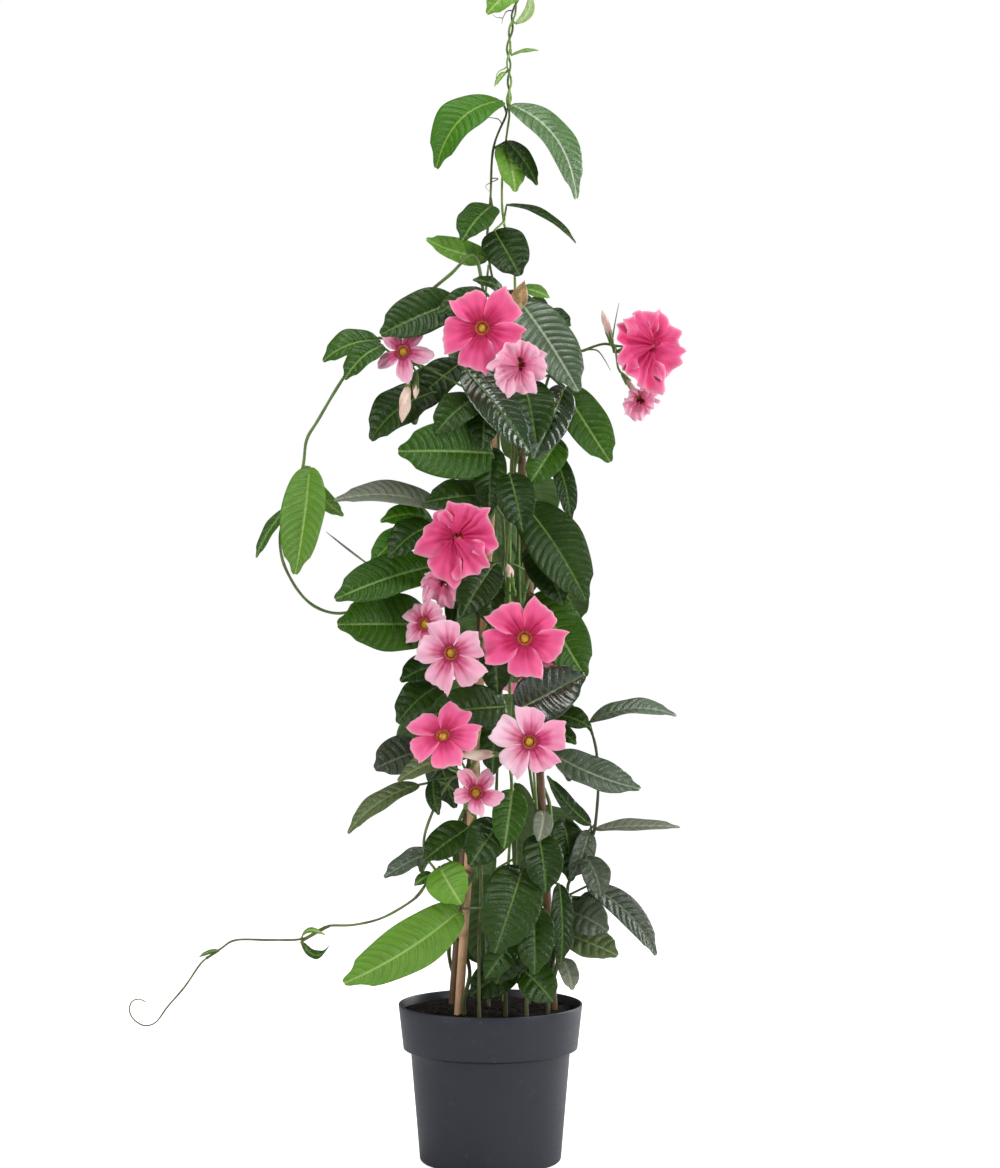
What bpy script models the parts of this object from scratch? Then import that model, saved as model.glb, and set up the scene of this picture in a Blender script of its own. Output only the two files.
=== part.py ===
"""A potted mandevilla: leafy vines and pink funnel flowers on a pyramid of three bamboo canes.

The frame has +Z up and its origin at the middle of the pot's underside. The front looks to -Y.
Rows of places are in millimetres, as (x, depth y, z). Each is read on the upright plane through
the pot's middle and then slid along the sight line of a viewer in front, so that moving a leaf
nearer or further keeps its place in the front view.
"""

import math

import bmesh
import bpy
from mathutils import Vector
from mathutils.bvhtree import BVHTree
from mathutils.geometry import tessellate_polygon

MM = 0.001
GAP = 0.3 * MM

# Viewer that the rows are read from
VIEWER = Vector((0.010, -3.35, 0.700))

# Pot
POT_HEIGHT = 0.165
RIM_RADIUS = 0.0965
COLLAR_FOOT_RADIUS = 0.0915
COLLAR_FOOT_HEIGHT = 0.118
NECK_RADIUS = 0.0835
FOOT_RADIUS = 0.0742
FOOT_ROUNDING = 0.004
POT_WALL = 0.0022
POT_FLOOR = 0.0030
INNER_STEP_LOW = -0.001
INNER_STEP_HIGH = 0.003
POT_SIDES = 26
DRAIN_HOLES = 6
DRAIN_RADIUS = 0.0055
DRAIN_CIRCLE = 0.050

# Soil
SOIL_TOP = 0.158
SOIL_MOUND = 0.003
STEM_HOLE_DEPTH = 0.042
CANE_HOLE_DEPTH = 0.085

# Canes, standing at these points of the soil and meeting round the apex
CANE_RADIUS = 0.0048
CANE_TAPER = 0.18
CANE_SIDES = 6
CANE_FEET = {"left": (-0.033, -0.035), "back": (-0.040, 0.040), "right": (0.066, 0.004)}
CANE_TURNS = {"left": 240, "back": 120, "right": 0}
APEX = Vector((0.018, 0.004, 0.900))
APEX_SPREAD = 0.0063
CANE_TOP = 0.914
CANE_KNOTS = 4
TIE_HEIGHT = 0.880
TIE_DEPTH = 0.008
TIE_THICKNESS = 0.0018
TIE_SLACK = 0.0007

# Leaves
BLADE_THICKNESS = 0.0012
LARGE_BLADE = 0.135
BLADE_STATIONS = (0.08, 0.32, 0.60, 0.86)
SMALL_BLADE_STATIONS = (0.12, 0.48, 0.82)
TINY_BLADE = 0.064
TINY_BLADE_STATIONS = (0.22, 0.70)
BLADE_FOLD = 0.20
BLADE_WAVE = 0.07
STALK_RADIUS = 0.0012
LONG_STALK = 0.060
LEAF_ROOTS = 7
STEM_SIDES = 4
STEM_SPACING = 0.040
TEST_THICKNESS = 0.0040
TEST_MARGIN = 0.0012
SLIDES = (0, -4, 4, -8, 8, -12, 12, -16, 16, -20, 20, -25, 25, -30, 30, -36, 36, -42, 42, -50, 50, -60, 60)

# Flowers
BLOOM_TUBE = 0.024
BLOOM_THROAT = 0.016
BLOOM_MOUTH = 0.010
CALYX_LENGTH = 0.009
FLOWER_ROOTS = 16
CALYX_RADIUS = 0.0030
FLOWER_STALK_RADIUS = 0.0013

COLOURS = {
    "leaf": ((0.045, 0.130, 0.030, 1), 0.30, 0.0),
    "top leaf": ((0.130, 0.330, 0.030, 1), 0.35, 0.0),
    "hot pink": ((0.840, 0.075, 0.230, 1), 0.50, 0.0),
    "pale pink": ((0.870, 0.330, 0.500, 1), 0.50, 0.0),
    "cream": ((0.800, 0.640, 0.520, 1), 0.50, 0.0),
    "withered": ((0.300, 0.200, 0.090, 1), 0.70, 0.0),
    "cane": ((0.460, 0.220, 0.110, 1), 0.55, 0.0),
    "tie": ((0.030, 0.060, 0.030, 1), 0.45, 0.0),
    "soil": ((0.020, 0.012, 0.008, 1), 0.95, 0.0),
    "pot": ((0.050, 0.055, 0.068, 1), 0.38, 0.0),
}

# Where a stem twines round a cane: how far off its middle, and points a turn
TWINE_REACH = 9.0
TWINE_POINTS = 5

# The line round which the two leaders twist above the canes, and how they twist
TWIST_LINE = ((18, -2, 1096), (20, -2, 1130), (19, -2, 1166), (24, -2, 1202), (29, -2, 1222))
TWIST_REACH = 1.9
TWIST_PITCH = 36
TWIST_POINTS = 5

# Stems of the leafy vines: radius at the foot and at the tip, then the places that the stem runs
# through. A row that starts with a name twines round that cane from one height to another,
# beginning at an angle, or round the leaders' common line beginning at an angle.
VINES = {
    "vine_left": (
        2.2,
        1.5,
        [
            ("left", 175, 690, -60, 4.0),
            (-4, -32, 740), (-6, -40, 800), (-2, -36, 860), (-8, -34, 915), (-18, -38, 950),
            (-42, -42, 930), (-68, -44, 908), (-92, -44, 882), (-110, -44, 864), (-122, -44, 860),
            (-153, -44, 823), (-181, -42, 777), (-193, -40, 756), (-197, -38, 728), (-207, -34, 700),
            (-217, -32, 674), (-221, -30, 652), (-217, -28, 626), (-202, -24, 598), (-184, -20, 581),
            (-160, -16, 574), (-132, -10, 580), (-104, 2, 590),
        ],
    ),
    "vine_right": (
        2.2,
        1.4,
        [
            ("right", 175, 740, -120, 4.0),
            (52, -16, 790), (62, -24, 824), (78, -30, 844), (98, -34, 850), (108, -34, 854),
            (120, -34, 857), (131, -34, 855), (141, -34, 854),
        ],
    ),
    "vine_back": (
        2.2,
        1.3,
        [("back", 175, 800, 60, 5.0), (-10, 34, 850), (-6, 44, 900), (-2, 48, 940)],
    ),
    "vine_back_right": (
        2.0,
        1.3,
        [
            (40, 44, 175), (46, 52, 240), (52, 50, 330), (40, 46, 420), (34, 50, 520),
            (30, 44, 620), (30, 40, 720), (34, 38, 800), (44, 36, 860),
        ],
    ),
    "vine_front": (
        2.2,
        1.3,
        [
            (16, -44, 175), (20, -50, 230), (26, -54, 310), (22, -56, 400), (12, -56, 480),
            (8, -54, 560), (14, -50, 640), (10, -50, 710), (8, -50, 770), (8, -48, 820),
            (-2, -54, 866), (4, -56, 900),
        ],
    ),
    "leader_dark": (
        1.8,
        1.1,
        [
            (-2, 4, 175), (2, 2, 260), (6, -2, 380), (10, 2, 500), (14, -2, 600), (22, -12, 700),
            (24, -16, 800), (20, -20, 860), (8, -22, 900), (-3, -18, 958), (0, -12, 1010),
            (3, -8, 1062),
            ("twist", 20),
            (34, -2, 1240), (38, -2, 1262), (36, -4, 1284),
        ],
    ),
    "leader_green": (
        1.8,
        1.1,
        [
            (14, 40, 175), (16, 34, 260), (22, 28, 380), (20, 28, 500), (20, 32, 620),
            (22, 32, 740), (26, 32, 840), (26, 26, 900), (24, 18, 948), (14, 4, 985), (12, 4, 1020),
            (15, 6, 1060),
            ("twist", 200),
            (28, -8, 1236),
        ],
    ),
    "shoot_low_left": (
        2.0,
        0.8,
        [
            (-12, -66, 175), (-12, -66, 230), (-10, -68, 300), (-16, -72, 360),
            (-26, -66, 396), (-38, -60, 402), (-52, -62, 384), (-66, -70, 352), (-70, -78, 332),
            (-66, -78, 316), (-57, -78, 302), (-66, -80, 292), (-79, -84, 275), (-112, -88, 255),
            (-143, -90, 247), (-169, -90, 246), (-181, -90, 241), (-199, -88, 232), (-231, -84, 231),
            (-267, -80, 231), (-283, -78, 222), (-298, -76, 212), (-306, -76, 204), (-321, -76, 182),
            (-339, -74, 161), (-351, -74, 145), (-363, -74, 141), (-374, -74, 147), (-379, -73, 156),
            (-377, -72, 166), (-369, -71, 169), (-362, -71, 166),
        ],
    ),
    "shoot_low_right": (
        2.0,
        1.3,
        [
            (60, -32, 175), (68, -36, 220), (80, -42, 277), (83, -44, 293),
            (100, -46, 321), (107, -46, 339), (110, -46, 352), (113, -46, 387), (112, -46, 423),
            (107, -46, 447), (101, -44, 456), (86, -42, 477), (70, -44, 496),
        ],
    ),
    "shoot_low_front": (
        2.0,
        1.3,
        [(38, -60, 175), (42, -64, 200), (46, -68, 260), (50, -66, 330), (46, -66, 400), (40, -68, 440)],
    ),
}

# Leaves seen from the front, as base, tip, width, lift of the middle, how far the face looks up
# in degrees, tone and, for a blade that curves, its bend to the right of the way that it points.
# The tone names the look of the blade, from fresh lime to grey in the shade; the form leaves it out.
LEAVES = {
    "leader_dark": [
        ((12, -8, 1112), (-57, -30, 1040), 54, 22, 32, "vivid", 4),
        ((34, -2, 1236), (-4, -16, 1203), 30, 6, 30, "lime"),
        ((17, -6, 1070), (49, -24, 1023), 22, 6, 10, "dark"),
        ((2, -14, 1002), (-30, -42, 964), 40, 6, 30, "mid"),
        ((-2, -16, 948), (-68, -34, 967), 38, -2, 40, "bright", -4),
        ((38, -2, 1256), (62, -12, 1262), 16, 6, 30, "lime"),
        ((34, -3, 1270), (16, -14, 1292), 14, 3, 30, "lime"),
    ],
    "leader_green": [
        ((20, -4, 1108), (90, -30, 1008), 42, 20, 26, "sheen", -9),
        ((14, -4, 1066), (26, -24, 1016), 32, 7, 10, "lime"),
        ((17, 2, 1003), (90, -10, 962), 22, 10, 62, "dark"),
        ((4, -6, 976), (31, -30, 928), 48, 2, 10, "dark"),
        ((27, 0, 1193), (41, -8, 1226), 12, 3, 10, "pale", 6),
        ((22, -2, 1160), (51, -8, 1165), 9, 2, 50, "lime"),
        ((16, 0, 1142), (4, -8, 1127), 6, 5, 30, "lime"),
    ],
    "vine_left": [
        ((-116, -46, 860), (-176, -56, 838), 40, 10, 36, "mid"),
        ((-113, -48, 855), (-153, -72, 819), 32, 8, 25, "mid"),
        ((-34, -60, 902), (-116, -86, 866), 54, 4, 20, "dark"),
        ((-30, -52, 838), (-100, -66, 776), 46, 4, 20, "dark"),
        ((-190, -40, 728), (-205, -54, 614), 54, 6, 0, "bright", -6),
        ((-214, -34, 684), (-246, -38, 632), 16, 5, 20, "mid"),
        ((-199, -38, 722), (-154, -26, 676), 20, 10, 20, "lime"),
        ((-60, -50, 806), (-126, -72, 755), 52, 8, 24, "dark", 5),
        ((-50, -60, 684), (-165, -78, 692), 46, 12, 56, "olive"),
        ((-61, -50, 672), (-116, -64, 670), 30, 10, 35, "vivid"),
        ((-72, -48, 656), (-94, -62, 677), 14, 4, 20, "lime"),
        ((-78, -44, 662), (-126, -58, 624), 32, 8, 20, "vivid"),
        ((-60, -46, 667), (-107, -68, 632), 42, 8, 30, "dark"),
        ((-58, -62, 624), (-164, -96, 588), 56, 6, 30, "mid"),
        ((-62, -66, 562), (-162, -100, 562), 68, 2, 22, "mid"),
        ((-50, -50, 517), (-95, -74, 502), 36, 8, 30, "dark"),
        ((-54, -52, 498), (-98, -78, 458), 42, 8, 20, "dark"),
        ((-70, -52, 430), (-122, -74, 410), 50, 4, 26, "slate"),
        ((-75, -60, 394), (-150, -80, 342), 28, 6, 46, "moss", 6),
        ((-60, -46, 399), (-54, -64, 362), 18, 5, 0, "dark"),
        ((-58, -34, 324), (-112, -48, 296), 30, 4, 46, "grey"),
        ((-16, -8, 606), (-34, -30, 520), 54, 6, 6, "dark"),
        ((-56, -40, 446), (-36, -54, 368), 40, 6, 6, "dark"),
        ((-125, -30, 623), (-173, -34, 660), 2.4, 1, 0, "grey"),
    ],
    "vine_front": [
        ((-4, -70, 910), (-56, -84, 888), 28, 6, 30, "dark"),
        ((14, -50, 912), (-19, -66, 924), 18, 4, 40, "dark"),
        ((-27, -72, 832), (42, -112, 742), 40, 10, 20, "gloss"),
        ((-4, -66, 800), (-8, -92, 746), 36, 8, 10, "dark"),
        ((2, -62, 748), (-2, -86, 676), 34, 8, 8, "dark"),
        ((-2, -62, 628), (2, -86, 556), 34, 8, 8, "dark"),
        ((2, -76, 742), (-98, -112, 744), 62, 6, 12, "mid"),
        ((-2, -70, 698), (-69, -92, 690), 42, 4, 36, "dark"),
        ((4, -84, 626), (-31, -112, 570), 42, 8, 10, "dark"),
        ((17, -86, 476), (-70, -112, 466), 48, 6, 20, "dark"),
        ((27, -88, 472), (100, -110, 510), 54, 2, 18, "gloss"),
        ((-24, -84, 426), (-98, -104, 397), 34, 8, 50, "moss"),
        ((10, -72, 355), (-22, -100, 308), 44, 8, 10, "dark"),
        ((23, -74, 389), (14, -98, 326), 36, 8, 0, "mid"),
        ((-6, -66, 660), (-34, -96, 640), 30, 8, 10, "dark"),
        ((20, -70, 720), (34, -98, 660), 40, 8, 10, "dark"),
        ((-16, -70, 800), (-58, -96, 762), 40, 8, 20, "dark"),
        ((4, -66, 542), (8, -84, 488), 34, 6, 0, "dark"),
        ((6, -64, 464), (2, -80, 404), 30, 8, 10, "dark"),
        ((-14, -64, 470), (-44, -84, 446), 34, 8, 10, "dark"),
    ],
    "vine_right": [
        ((32, -44, 900), (93, -84, 806), 54, 6, 14, "silver"),
        ((31, -30, 914), (62, -46, 905), 18, 4, 30, "bright"),
        ((40, -26, 904), (60, -40, 892), 16, 4, 30, "dark"),
        ((60, -24, 892), (84, -40, 875), 18, 4, 20, "dark"),
        ((76, -48, 811), (126, -70, 732), 50, 0, 10, "mid"),
        ((34, -66, 818), (48, -98, 752), 50, 10, 6, "dark"),
        ((78, -62, 812), (44, -90, 735), 38, 10, 10, "gloss"),
        ((72, -56, 758), (40, -84, 708), 38, 8, 20, "mid"),
        ((65, -40, 744), (84, -54, 670), 24, 10, 10, "dark"),
        ((36, -60, 688), (101, -84, 586), 60, 14, 6, "dark"),
        ((44, -54, 646), (76, -78, 582), 46, 10, 6, "dark"),
        ((44, -60, 594), (100, -80, 506), 58, 4, 8, "mid"),
        ((64, -54, 467), (106, -74, 454), 28, 6, 30, "dark"),
        ((66, -46, 452), (90, -62, 436), 20, 4, 30, "dark"),
        ((76, -36, 358), (84, -54, 292), 38, 6, 6, "dark"),
        ((36, 12, 668), (28, -8, 584), 50, 6, 10, "dark"),
    ],
    "vine_back": [
        ((-8, 20, 716), (-22, -4, 640), 56, 6, 10, "dark"),
        ((-14, 26, 620), (-44, 6, 556), 52, 6, 10, "dark"),
        ((-20, 30, 510), (-40, 8, 440), 50, 6, 10, "dark"),
        ((2, 28, 806), (-26, 6, 748), 44, 6, 10, "dark"),
        ((-2, 34, 706), (6, 12, 604), 60, 6, 10, "dark"),
        ((-12, 28, 880), (-40, 6, 816), 46, 6, 10, "dark"),
        ((-24, 40, 280), (-2, 22, 200), 54, 6, 10, "dark"),
        ((-16, 26, 350), (-10, 6, 262), 50, 6, 10, "dark"),
        ((0, 36, 300), (-4, 18, 196), 56, 6, 10, "dark"),
        ((-8, 32, 600), (-14, 10, 530), 50, 6, 10, "dark"),
    ],
    "vine_back_right": [
        ((32, 36, 580), (22, 14, 500), 56, 6, 10, "dark"),
        ((12, 36, 636), (8, 14, 556), 60, 6, 10, "dark"),
        ((26, 44, 396), (24, 22, 302), 56, 6, 10, "dark"),
        ((22, 44, 290), (22, 24, 196), 56, 6, 10, "dark"),
        ((32, 30, 800), (26, 8, 730), 50, 6, 10, "dark"),
        ((36, 40, 520), (28, 18, 440), 56, 6, 10, "dark"),
        ((44, 40, 350), (40, 18, 262), 54, 6, 10, "dark"),
    ],
    "shoot_low_right": [
        ((104, -48, 460), (196, -66, 466), 34, 13, 58, "grey"),
        ((68, -52, 425), (158, -76, 389), 42, 2, 34, "grey", 6),
        ((110, -48, 347), (200, -60, 349), 26, 3, 64, "olive"),
        ((105, -46, 352), (59, -64, 404), 18, 4, 20, "dark", -6),
        ((103, -48, 346), (83, -62, 295), 26, 8, 10, "slate"),
        ((100, -48, 318), (116, -62, 276), 32, 8, 6, "slate"),
        ((102, -40, 288), (174, -58, 214), 36, 5, 42, "slate", -9),
        ((82, -52, 262), (124, -74, 240), 42, 6, 10, "slate"),
        ((84, -46, 274), (104, -56, 252), 22, 4, 20, "slate"),
        ((94, -44, 276), (118, -56, 268), 18, 4, 30, "slate"),
        ((78, -50, 238), (134, -70, 214), 44, 2, 36, "moss"),
        ((76, -46, 212), (86, -58, 178), 22, 4, 10, "olive"),
    ],
    "shoot_low_front": [
        ((34, -78, 308), (4, -112, 216), 62, 14, 6, "dark"),
        ((50, -76, 342), (58, -98, 280), 42, 8, 4, "dark"),
        ((44, -78, 268), (46, -98, 194), 42, 8, 4, "dark"),
        ((72, -66, 290), (74, -76, 206), 24, 8, 4, "dark"),
        ((36, -74, 198), (66, -86, 166), 40, 6, 14, "dark"),
        ((30, -60, 250), (6, -70, 184), 44, 6, 8, "dark"),
        ((28, -46, 206), (-22, -54, 172), 40, 6, 20, "dark"),
        ((44, -40, 236), (40, -40, 176), 50, 4, 10, "dark"),
        ((56, -72, 366), (50, -88, 334), 22, 5, 4, "olive"),
        ((24, -76, 232), (-6, -88, 190), 30, 8, 10, "dark"),
    ],
    "shoot_low_left": [
        ((-30, -92, 264), (-155, -134, 185), 55, 0, 18, "bright", -6),
        ((-54, -82, 308), (-30, -104, 268), 44, 8, 20, "lime"),
        ((-22, -80, 350), (-70, -100, 314), 40, 2, 36, "dark"),
        ((-60, -80, 300), (-80, -88, 288), 14, 3, 30, "mid"),
        ((-199, -89, 232), (-173, -98, 236), 8, 10, 50, "bright"),
        ((-199, -90, 229), (-169, -96, 226), 14, -16, 60, "mid"),
        ((-285, -79, 220), (-306, -84, 213), 6, 2, 40, "mid"),
    ],
}

# Vines whose back is leafed by a rule, with the lowest and highest leaf and the sector in
# degrees from the front round the left, as pairs of leaves every few centimetres
BACK_LEAVES = {
    "vine_back": (250, 840, 6, (165, 240)),
    "vine_back_right": (230, 840, 6, (120, 190)),
    "vine_left": (330, 780, 2, (125, 145)),
    "vine_right": (430, 800, 2, (235, 255)),
}

# How far the leaf tips reach from the middle, by height
REACH = ((150, 95), (300, 100), (450, 110), (650, 112), (780, 104), (860, 88), (960, 55))

# Flowers, as vine, middle of the face, where the face looks (degrees right of the front, degrees
# up), radius, how wide the lobes open in degrees from the axis, sag, turn and colour
BLOOMS = {
    "bloom_crown": ("vine_front", (-9, -118, 874), (-10, 8), 44, 88, 0, 10, "hot pink"),
    "bloom_crown_faded": ("vine_front", (28, -124, 836), (20, -18), 31, 74, 7, 40, "pale pink"),
    "bloom_shoulder": ("vine_left", (-92, -84, 849), (-16, 14), 31, 96, 0, 25, "pale pink"),
    "bloom_side": ("vine_right", (164, -60, 854), (38, 4), 45, 80, 3, 0, "hot pink"),
    "bloom_side_faded": ("vine_right", (156, -38, 800), (24, -34), 22, 60, 5, 15, "pale pink"),
    "bloom_middle_left": ("vine_left", (-32, -126, 652), (-28, 10), 44, 82, 5, 55, "hot pink"),
    "bloom_faded_left": ("vine_left", (-50, -96, 610), (-14, -36), 26, 56, 7, 5, "pale pink"),
    "bloom_pale_left": ("vine_left", (-70, -96, 563), (-34, 8), 27, 86, 2, 30, "pale pink"),
    "bloom_pink_left": ("vine_left", (-42, -136, 532), (-16, -6), 38, 84, 4, 62, "pale pink"),
    "bloom_heart": ("vine_front", (36, -138, 548), (4, 6), 43, 90, 0, 18, "hot pink"),
    "bloom_low_left": ("vine_left", (-50, -144, 446), (-8, 40), 39, 84, 2, 34, "hot pink"),
    "bloom_low_right": ("vine_front", (41, -138, 439), (6, -2), 38, 90, 0, 50, "pale pink"),
    "bloom_small": ("shoot_low_left", (-15, -120, 386), (14, 20), 27, 72, 0, 12, "pale pink"),
    "bloom_back_high": ("vine_back", (-30, 118, 760), (200, 10), 42, 88, 0, 20, "hot pink"),
    "bloom_back_low": ("vine_back_right", (44, 128, 520), (160, 6), 42, 88, 0, 44, "hot pink"),
}

# Buds, as vine, base, tip, radius and colour
BUDS = {
    "bud_shoulder": ("vine_left", (-87, -82, 812), (-93, -88, 774), 6.2, "cream"),
    "bud_shoulder_small": ("vine_left", (-78, -80, 817), (-79, -84, 799), 3.4, "cream"),
    "bud_middle": ("vine_front", (4, -112, 426), (-33, -126, 425), 5.6, "cream"),
    "bud_side": ("vine_right", (126, -52, 862), (117, -58, 893), 3.8, "cream"),
    "bud_withered": ("vine_front", (26, -86, 892), (36, -92, 924), 7.0, "withered"),
    "bud_heart": ("vine_front", (22, -100, 610), (18, -108, 626), 4.0, "cream"),
}


def clear_scene():
    for thing in list(bpy.data.objects):
        bpy.data.objects.remove(thing, do_unlink=True)


def material(name):
    found = bpy.data.materials.get(name)
    if found:
        return found
    colour, roughness, metallic = COLOURS[name]
    made = bpy.data.materials.new(name)
    made.use_nodes = True
    shader = made.node_tree.nodes["Principled BSDF"]
    shader.inputs["Base Color"].default_value = colour
    shader.inputs["Roughness"].default_value = roughness
    shader.inputs["Metallic"].default_value = metallic
    made.diffuse_color = colour
    return made


def add_object(name, solid, colour):
    """One mesh object of (points, faces), shaded smooth with its sharp edges kept."""
    points, faces = solid
    mesh = bpy.data.meshes.new(name)
    mesh.from_pydata([tuple(point) for point in points], [], faces)
    mesh.materials.append(material(colour))
    mesh.shade_smooth()
    mesh.set_sharp_from_angle(angle=math.radians(40))
    made = bpy.data.objects.new(name, mesh)
    bpy.context.scene.collection.objects.link(made)
    return made


def seen(place):
    """The point that a row's (x, depth, z) stands for."""
    on_plane = Vector((place[0] * MM, 0, place[2] * MM))
    share = (place[1] * MM - VIEWER.y) / (0 - VIEWER.y)
    return VIEWER + (on_plane - VIEWER) * share


def sight_line(place):
    """How a point moves when its depth grows by one metre."""
    on_plane = Vector((place[0] * MM, 0, place[2] * MM))
    return (on_plane - VIEWER) / (0 - VIEWER.y)


def smooth_route(points, spacing):
    """Points along a smooth curve through the given ones."""
    route = []
    last = len(points) - 1
    for index in range(last):
        before = points[max(index - 1, 0)]
        here = points[index]
        after = points[index + 1]
        beyond = points[min(index + 2, last)]
        steps = max(1, round((after - here).length / spacing))
        for step in range(steps):
            t = step / steps
            bend = (after - before) * t
            bend += (before * 2 - here * 5 + after * 4 - beyond) * t**2
            bend += (here * 3 - before - after * 3 + beyond) * t**3
            route.append(here + bend / 2)
    route.append(points[last])
    return route


def tube(route, radii, sides):
    """A closed round tube along the route, with its own radius at each point."""
    points = []
    faces = []
    across = Vector((0, 1, 0))
    count = len(route)
    for index, middle in enumerate(route):
        ahead = (route[min(index + 1, count - 1)] - route[max(index - 1, 0)]).normalized()
        across = across - ahead * across.dot(ahead)
        if across.length < 0.1:
            across = ahead.orthogonal()
        across.normalize()
        other = ahead.cross(across)
        for side in range(sides):
            angle = 2 * math.pi * side / sides
            points.append(middle + (across * math.cos(angle) + other * math.sin(angle)) * radii[index])
    for index in range(count - 1):
        for side in range(sides):
            beside = (side + 1) % sides
            low = index * sides
            high = low + sides
            faces.append((low + side, low + beside, high + beside))
            faces.append((low + side, high + beside, high + side))
    faces.append(tuple(reversed(range(sides))))
    faces.append(tuple(range((count - 1) * sides, count * sides)))
    return points, faces


def tapered_tube(route, foot_radius, tip_radius, sides):
    last = len(route) - 1
    radii = [foot_radius + (tip_radius - foot_radius) * index / last for index in range(last + 1)]
    return tube(route, radii, sides)


def turned(profile, sides):
    """A closed solid turned about Z from (radius, height) points, which start and end on the axis."""
    points = [Vector((0, 0, profile[0][1]))]
    faces = []
    rings = profile[1:-1]
    for radius, height in rings:
        for side in range(sides):
            angle = 2 * math.pi * side / sides
            points.append(Vector((radius * math.cos(angle), radius * math.sin(angle), height)))
    points.append(Vector((0, 0, profile[-1][1])))
    top = len(points) - 1
    for side in range(sides):
        beside = (side + 1) % sides
        faces.append((0, 1 + beside, 1 + side))
        last = 1 + (len(rings) - 1) * sides
        faces.append((top, last + side, last + beside))
        for ring in range(len(rings) - 1):
            low = 1 + ring * sides
            high = low + sides
            faces.append((low + side, low + beside, high + beside, high + side))
    return points, faces


def rounded_corner(middle, radius, start, end, steps):
    """Points of an arc in a profile, from one angle to another in degrees."""
    points = []
    for step in range(steps + 1):
        angle = math.radians(start + (end - start) * step / steps)
        points.append((middle[0] + radius * math.cos(angle), middle[1] + radius * math.sin(angle)))
    return points


def pot_inner_radius(height):
    """Inside radius of the pot, which follows its outside."""
    if height > COLLAR_FOOT_HEIGHT:
        share = (height - COLLAR_FOOT_HEIGHT) / (POT_HEIGHT - COLLAR_FOOT_HEIGHT)
        return COLLAR_FOOT_RADIUS + (RIM_RADIUS - COLLAR_FOOT_RADIUS) * share - POT_WALL
    share = height / COLLAR_FOOT_HEIGHT
    return FOOT_RADIUS + (NECK_RADIUS - FOOT_RADIUS) * share - POT_WALL


def cut(target, cutters):
    """Cuts a collection of closed solids out of the target and removes them."""
    group = bpy.data.collections.new("cutters")
    bpy.context.scene.collection.children.link(group)
    for index, solid in enumerate(cutters):
        cutter = add_object(f"cutter_{index}", solid, "soil")
        bpy.context.scene.collection.objects.unlink(cutter)
        group.objects.link(cutter)
    join(target, group, "DIFFERENCE", "EXACT")


def join(target, group, operation, solver):
    """Applies one Boolean with a whole collection, then removes the collection's objects."""
    boolean = target.modifiers.new("join", "BOOLEAN")
    boolean.operation = operation
    boolean.operand_type = "COLLECTION"
    boolean.collection = group
    boolean.solver = solver
    graph = bpy.context.evaluated_depsgraph_get()
    result = bpy.data.meshes.new_from_object(target.evaluated_get(graph))
    target.modifiers.clear()
    target.data = result
    keep_outer_body(result)
    result.shade_smooth()
    result.set_sharp_from_angle(angle=math.radians(40))
    for helper in list(group.objects):
        bpy.data.objects.remove(helper, do_unlink=True)
    bpy.data.collections.remove(group)


def keep_outer_body(mesh):
    """Leaves only the largest body, without sealed hollows and loose scraps."""
    form = bmesh.new()
    form.from_mesh(mesh)
    unseen = set(form.faces)
    bodies = []
    while unseen:
        body = {unseen.pop()}
        edge_of_body = list(body)
        while edge_of_body:
            face = edge_of_body.pop()
            for edge in face.edges:
                for beside in edge.link_faces:
                    if beside in unseen:
                        unseen.remove(beside)
                        body.add(beside)
                        edge_of_body.append(beside)
        bodies.append(body)
    bodies.sort(key=len)
    for body in bodies[:-1]:
        bmesh.ops.delete(form, geom=list(body), context="FACES")
    form.to_mesh(mesh)
    form.free()


def build_pot():
    corner = rounded_corner((FOOT_RADIUS - FOOT_ROUNDING, FOOT_ROUNDING), FOOT_ROUNDING, -90, 0, 2)
    lip = rounded_corner((RIM_RADIUS - POT_WALL / 2, POT_HEIGHT - POT_WALL / 2), POT_WALL / 2, 0, 180, 2)
    step = 0.0012
    profile = [(0, 0)]
    profile += corner
    profile += [
        (NECK_RADIUS, COLLAR_FOOT_HEIGHT - 0.004),
        (NECK_RADIUS + 0.0030, COLLAR_FOOT_HEIGHT - step),
        (COLLAR_FOOT_RADIUS - step, COLLAR_FOOT_HEIGHT),
        (COLLAR_FOOT_RADIUS, COLLAR_FOOT_HEIGHT + step),
    ]
    profile += lip
    profile += [
        (COLLAR_FOOT_RADIUS - POT_WALL, COLLAR_FOOT_HEIGHT + INNER_STEP_HIGH),
        (NECK_RADIUS - POT_WALL, COLLAR_FOOT_HEIGHT + INNER_STEP_LOW),
        (FOOT_RADIUS - POT_WALL, POT_FLOOR),
        (0, POT_FLOOR),
    ]
    pot = add_object("pot", turned(profile, POT_SIDES), "pot")
    holes = []
    for index in range(DRAIN_HOLES):
        angle = 2 * math.pi * (index + 0.5) / DRAIN_HOLES
        middle = Vector((math.cos(angle), math.sin(angle), 0)) * DRAIN_CIRCLE
        low = middle - Vector((0, 0, 0.004))
        high = middle + Vector((0, 0, 0.008))
        holes.append(tapered_tube([low, high], DRAIN_RADIUS, DRAIN_RADIUS, 6))
    cut(pot, holes)
    return pot


def cane_line(name):
    """Foot in the soil and top of a cane's middle line."""
    foot = Vector((*CANE_FEET[name], SOIL_TOP))
    turn = math.radians(CANE_TURNS[name])
    meeting = APEX + Vector((math.cos(turn), math.sin(turn), 0)) * APEX_SPREAD
    slope = (meeting - foot) / (meeting.z - foot.z)
    return foot - slope * CANE_HOLE_DEPTH, foot + slope * (CANE_TOP - SOIL_TOP)


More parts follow.
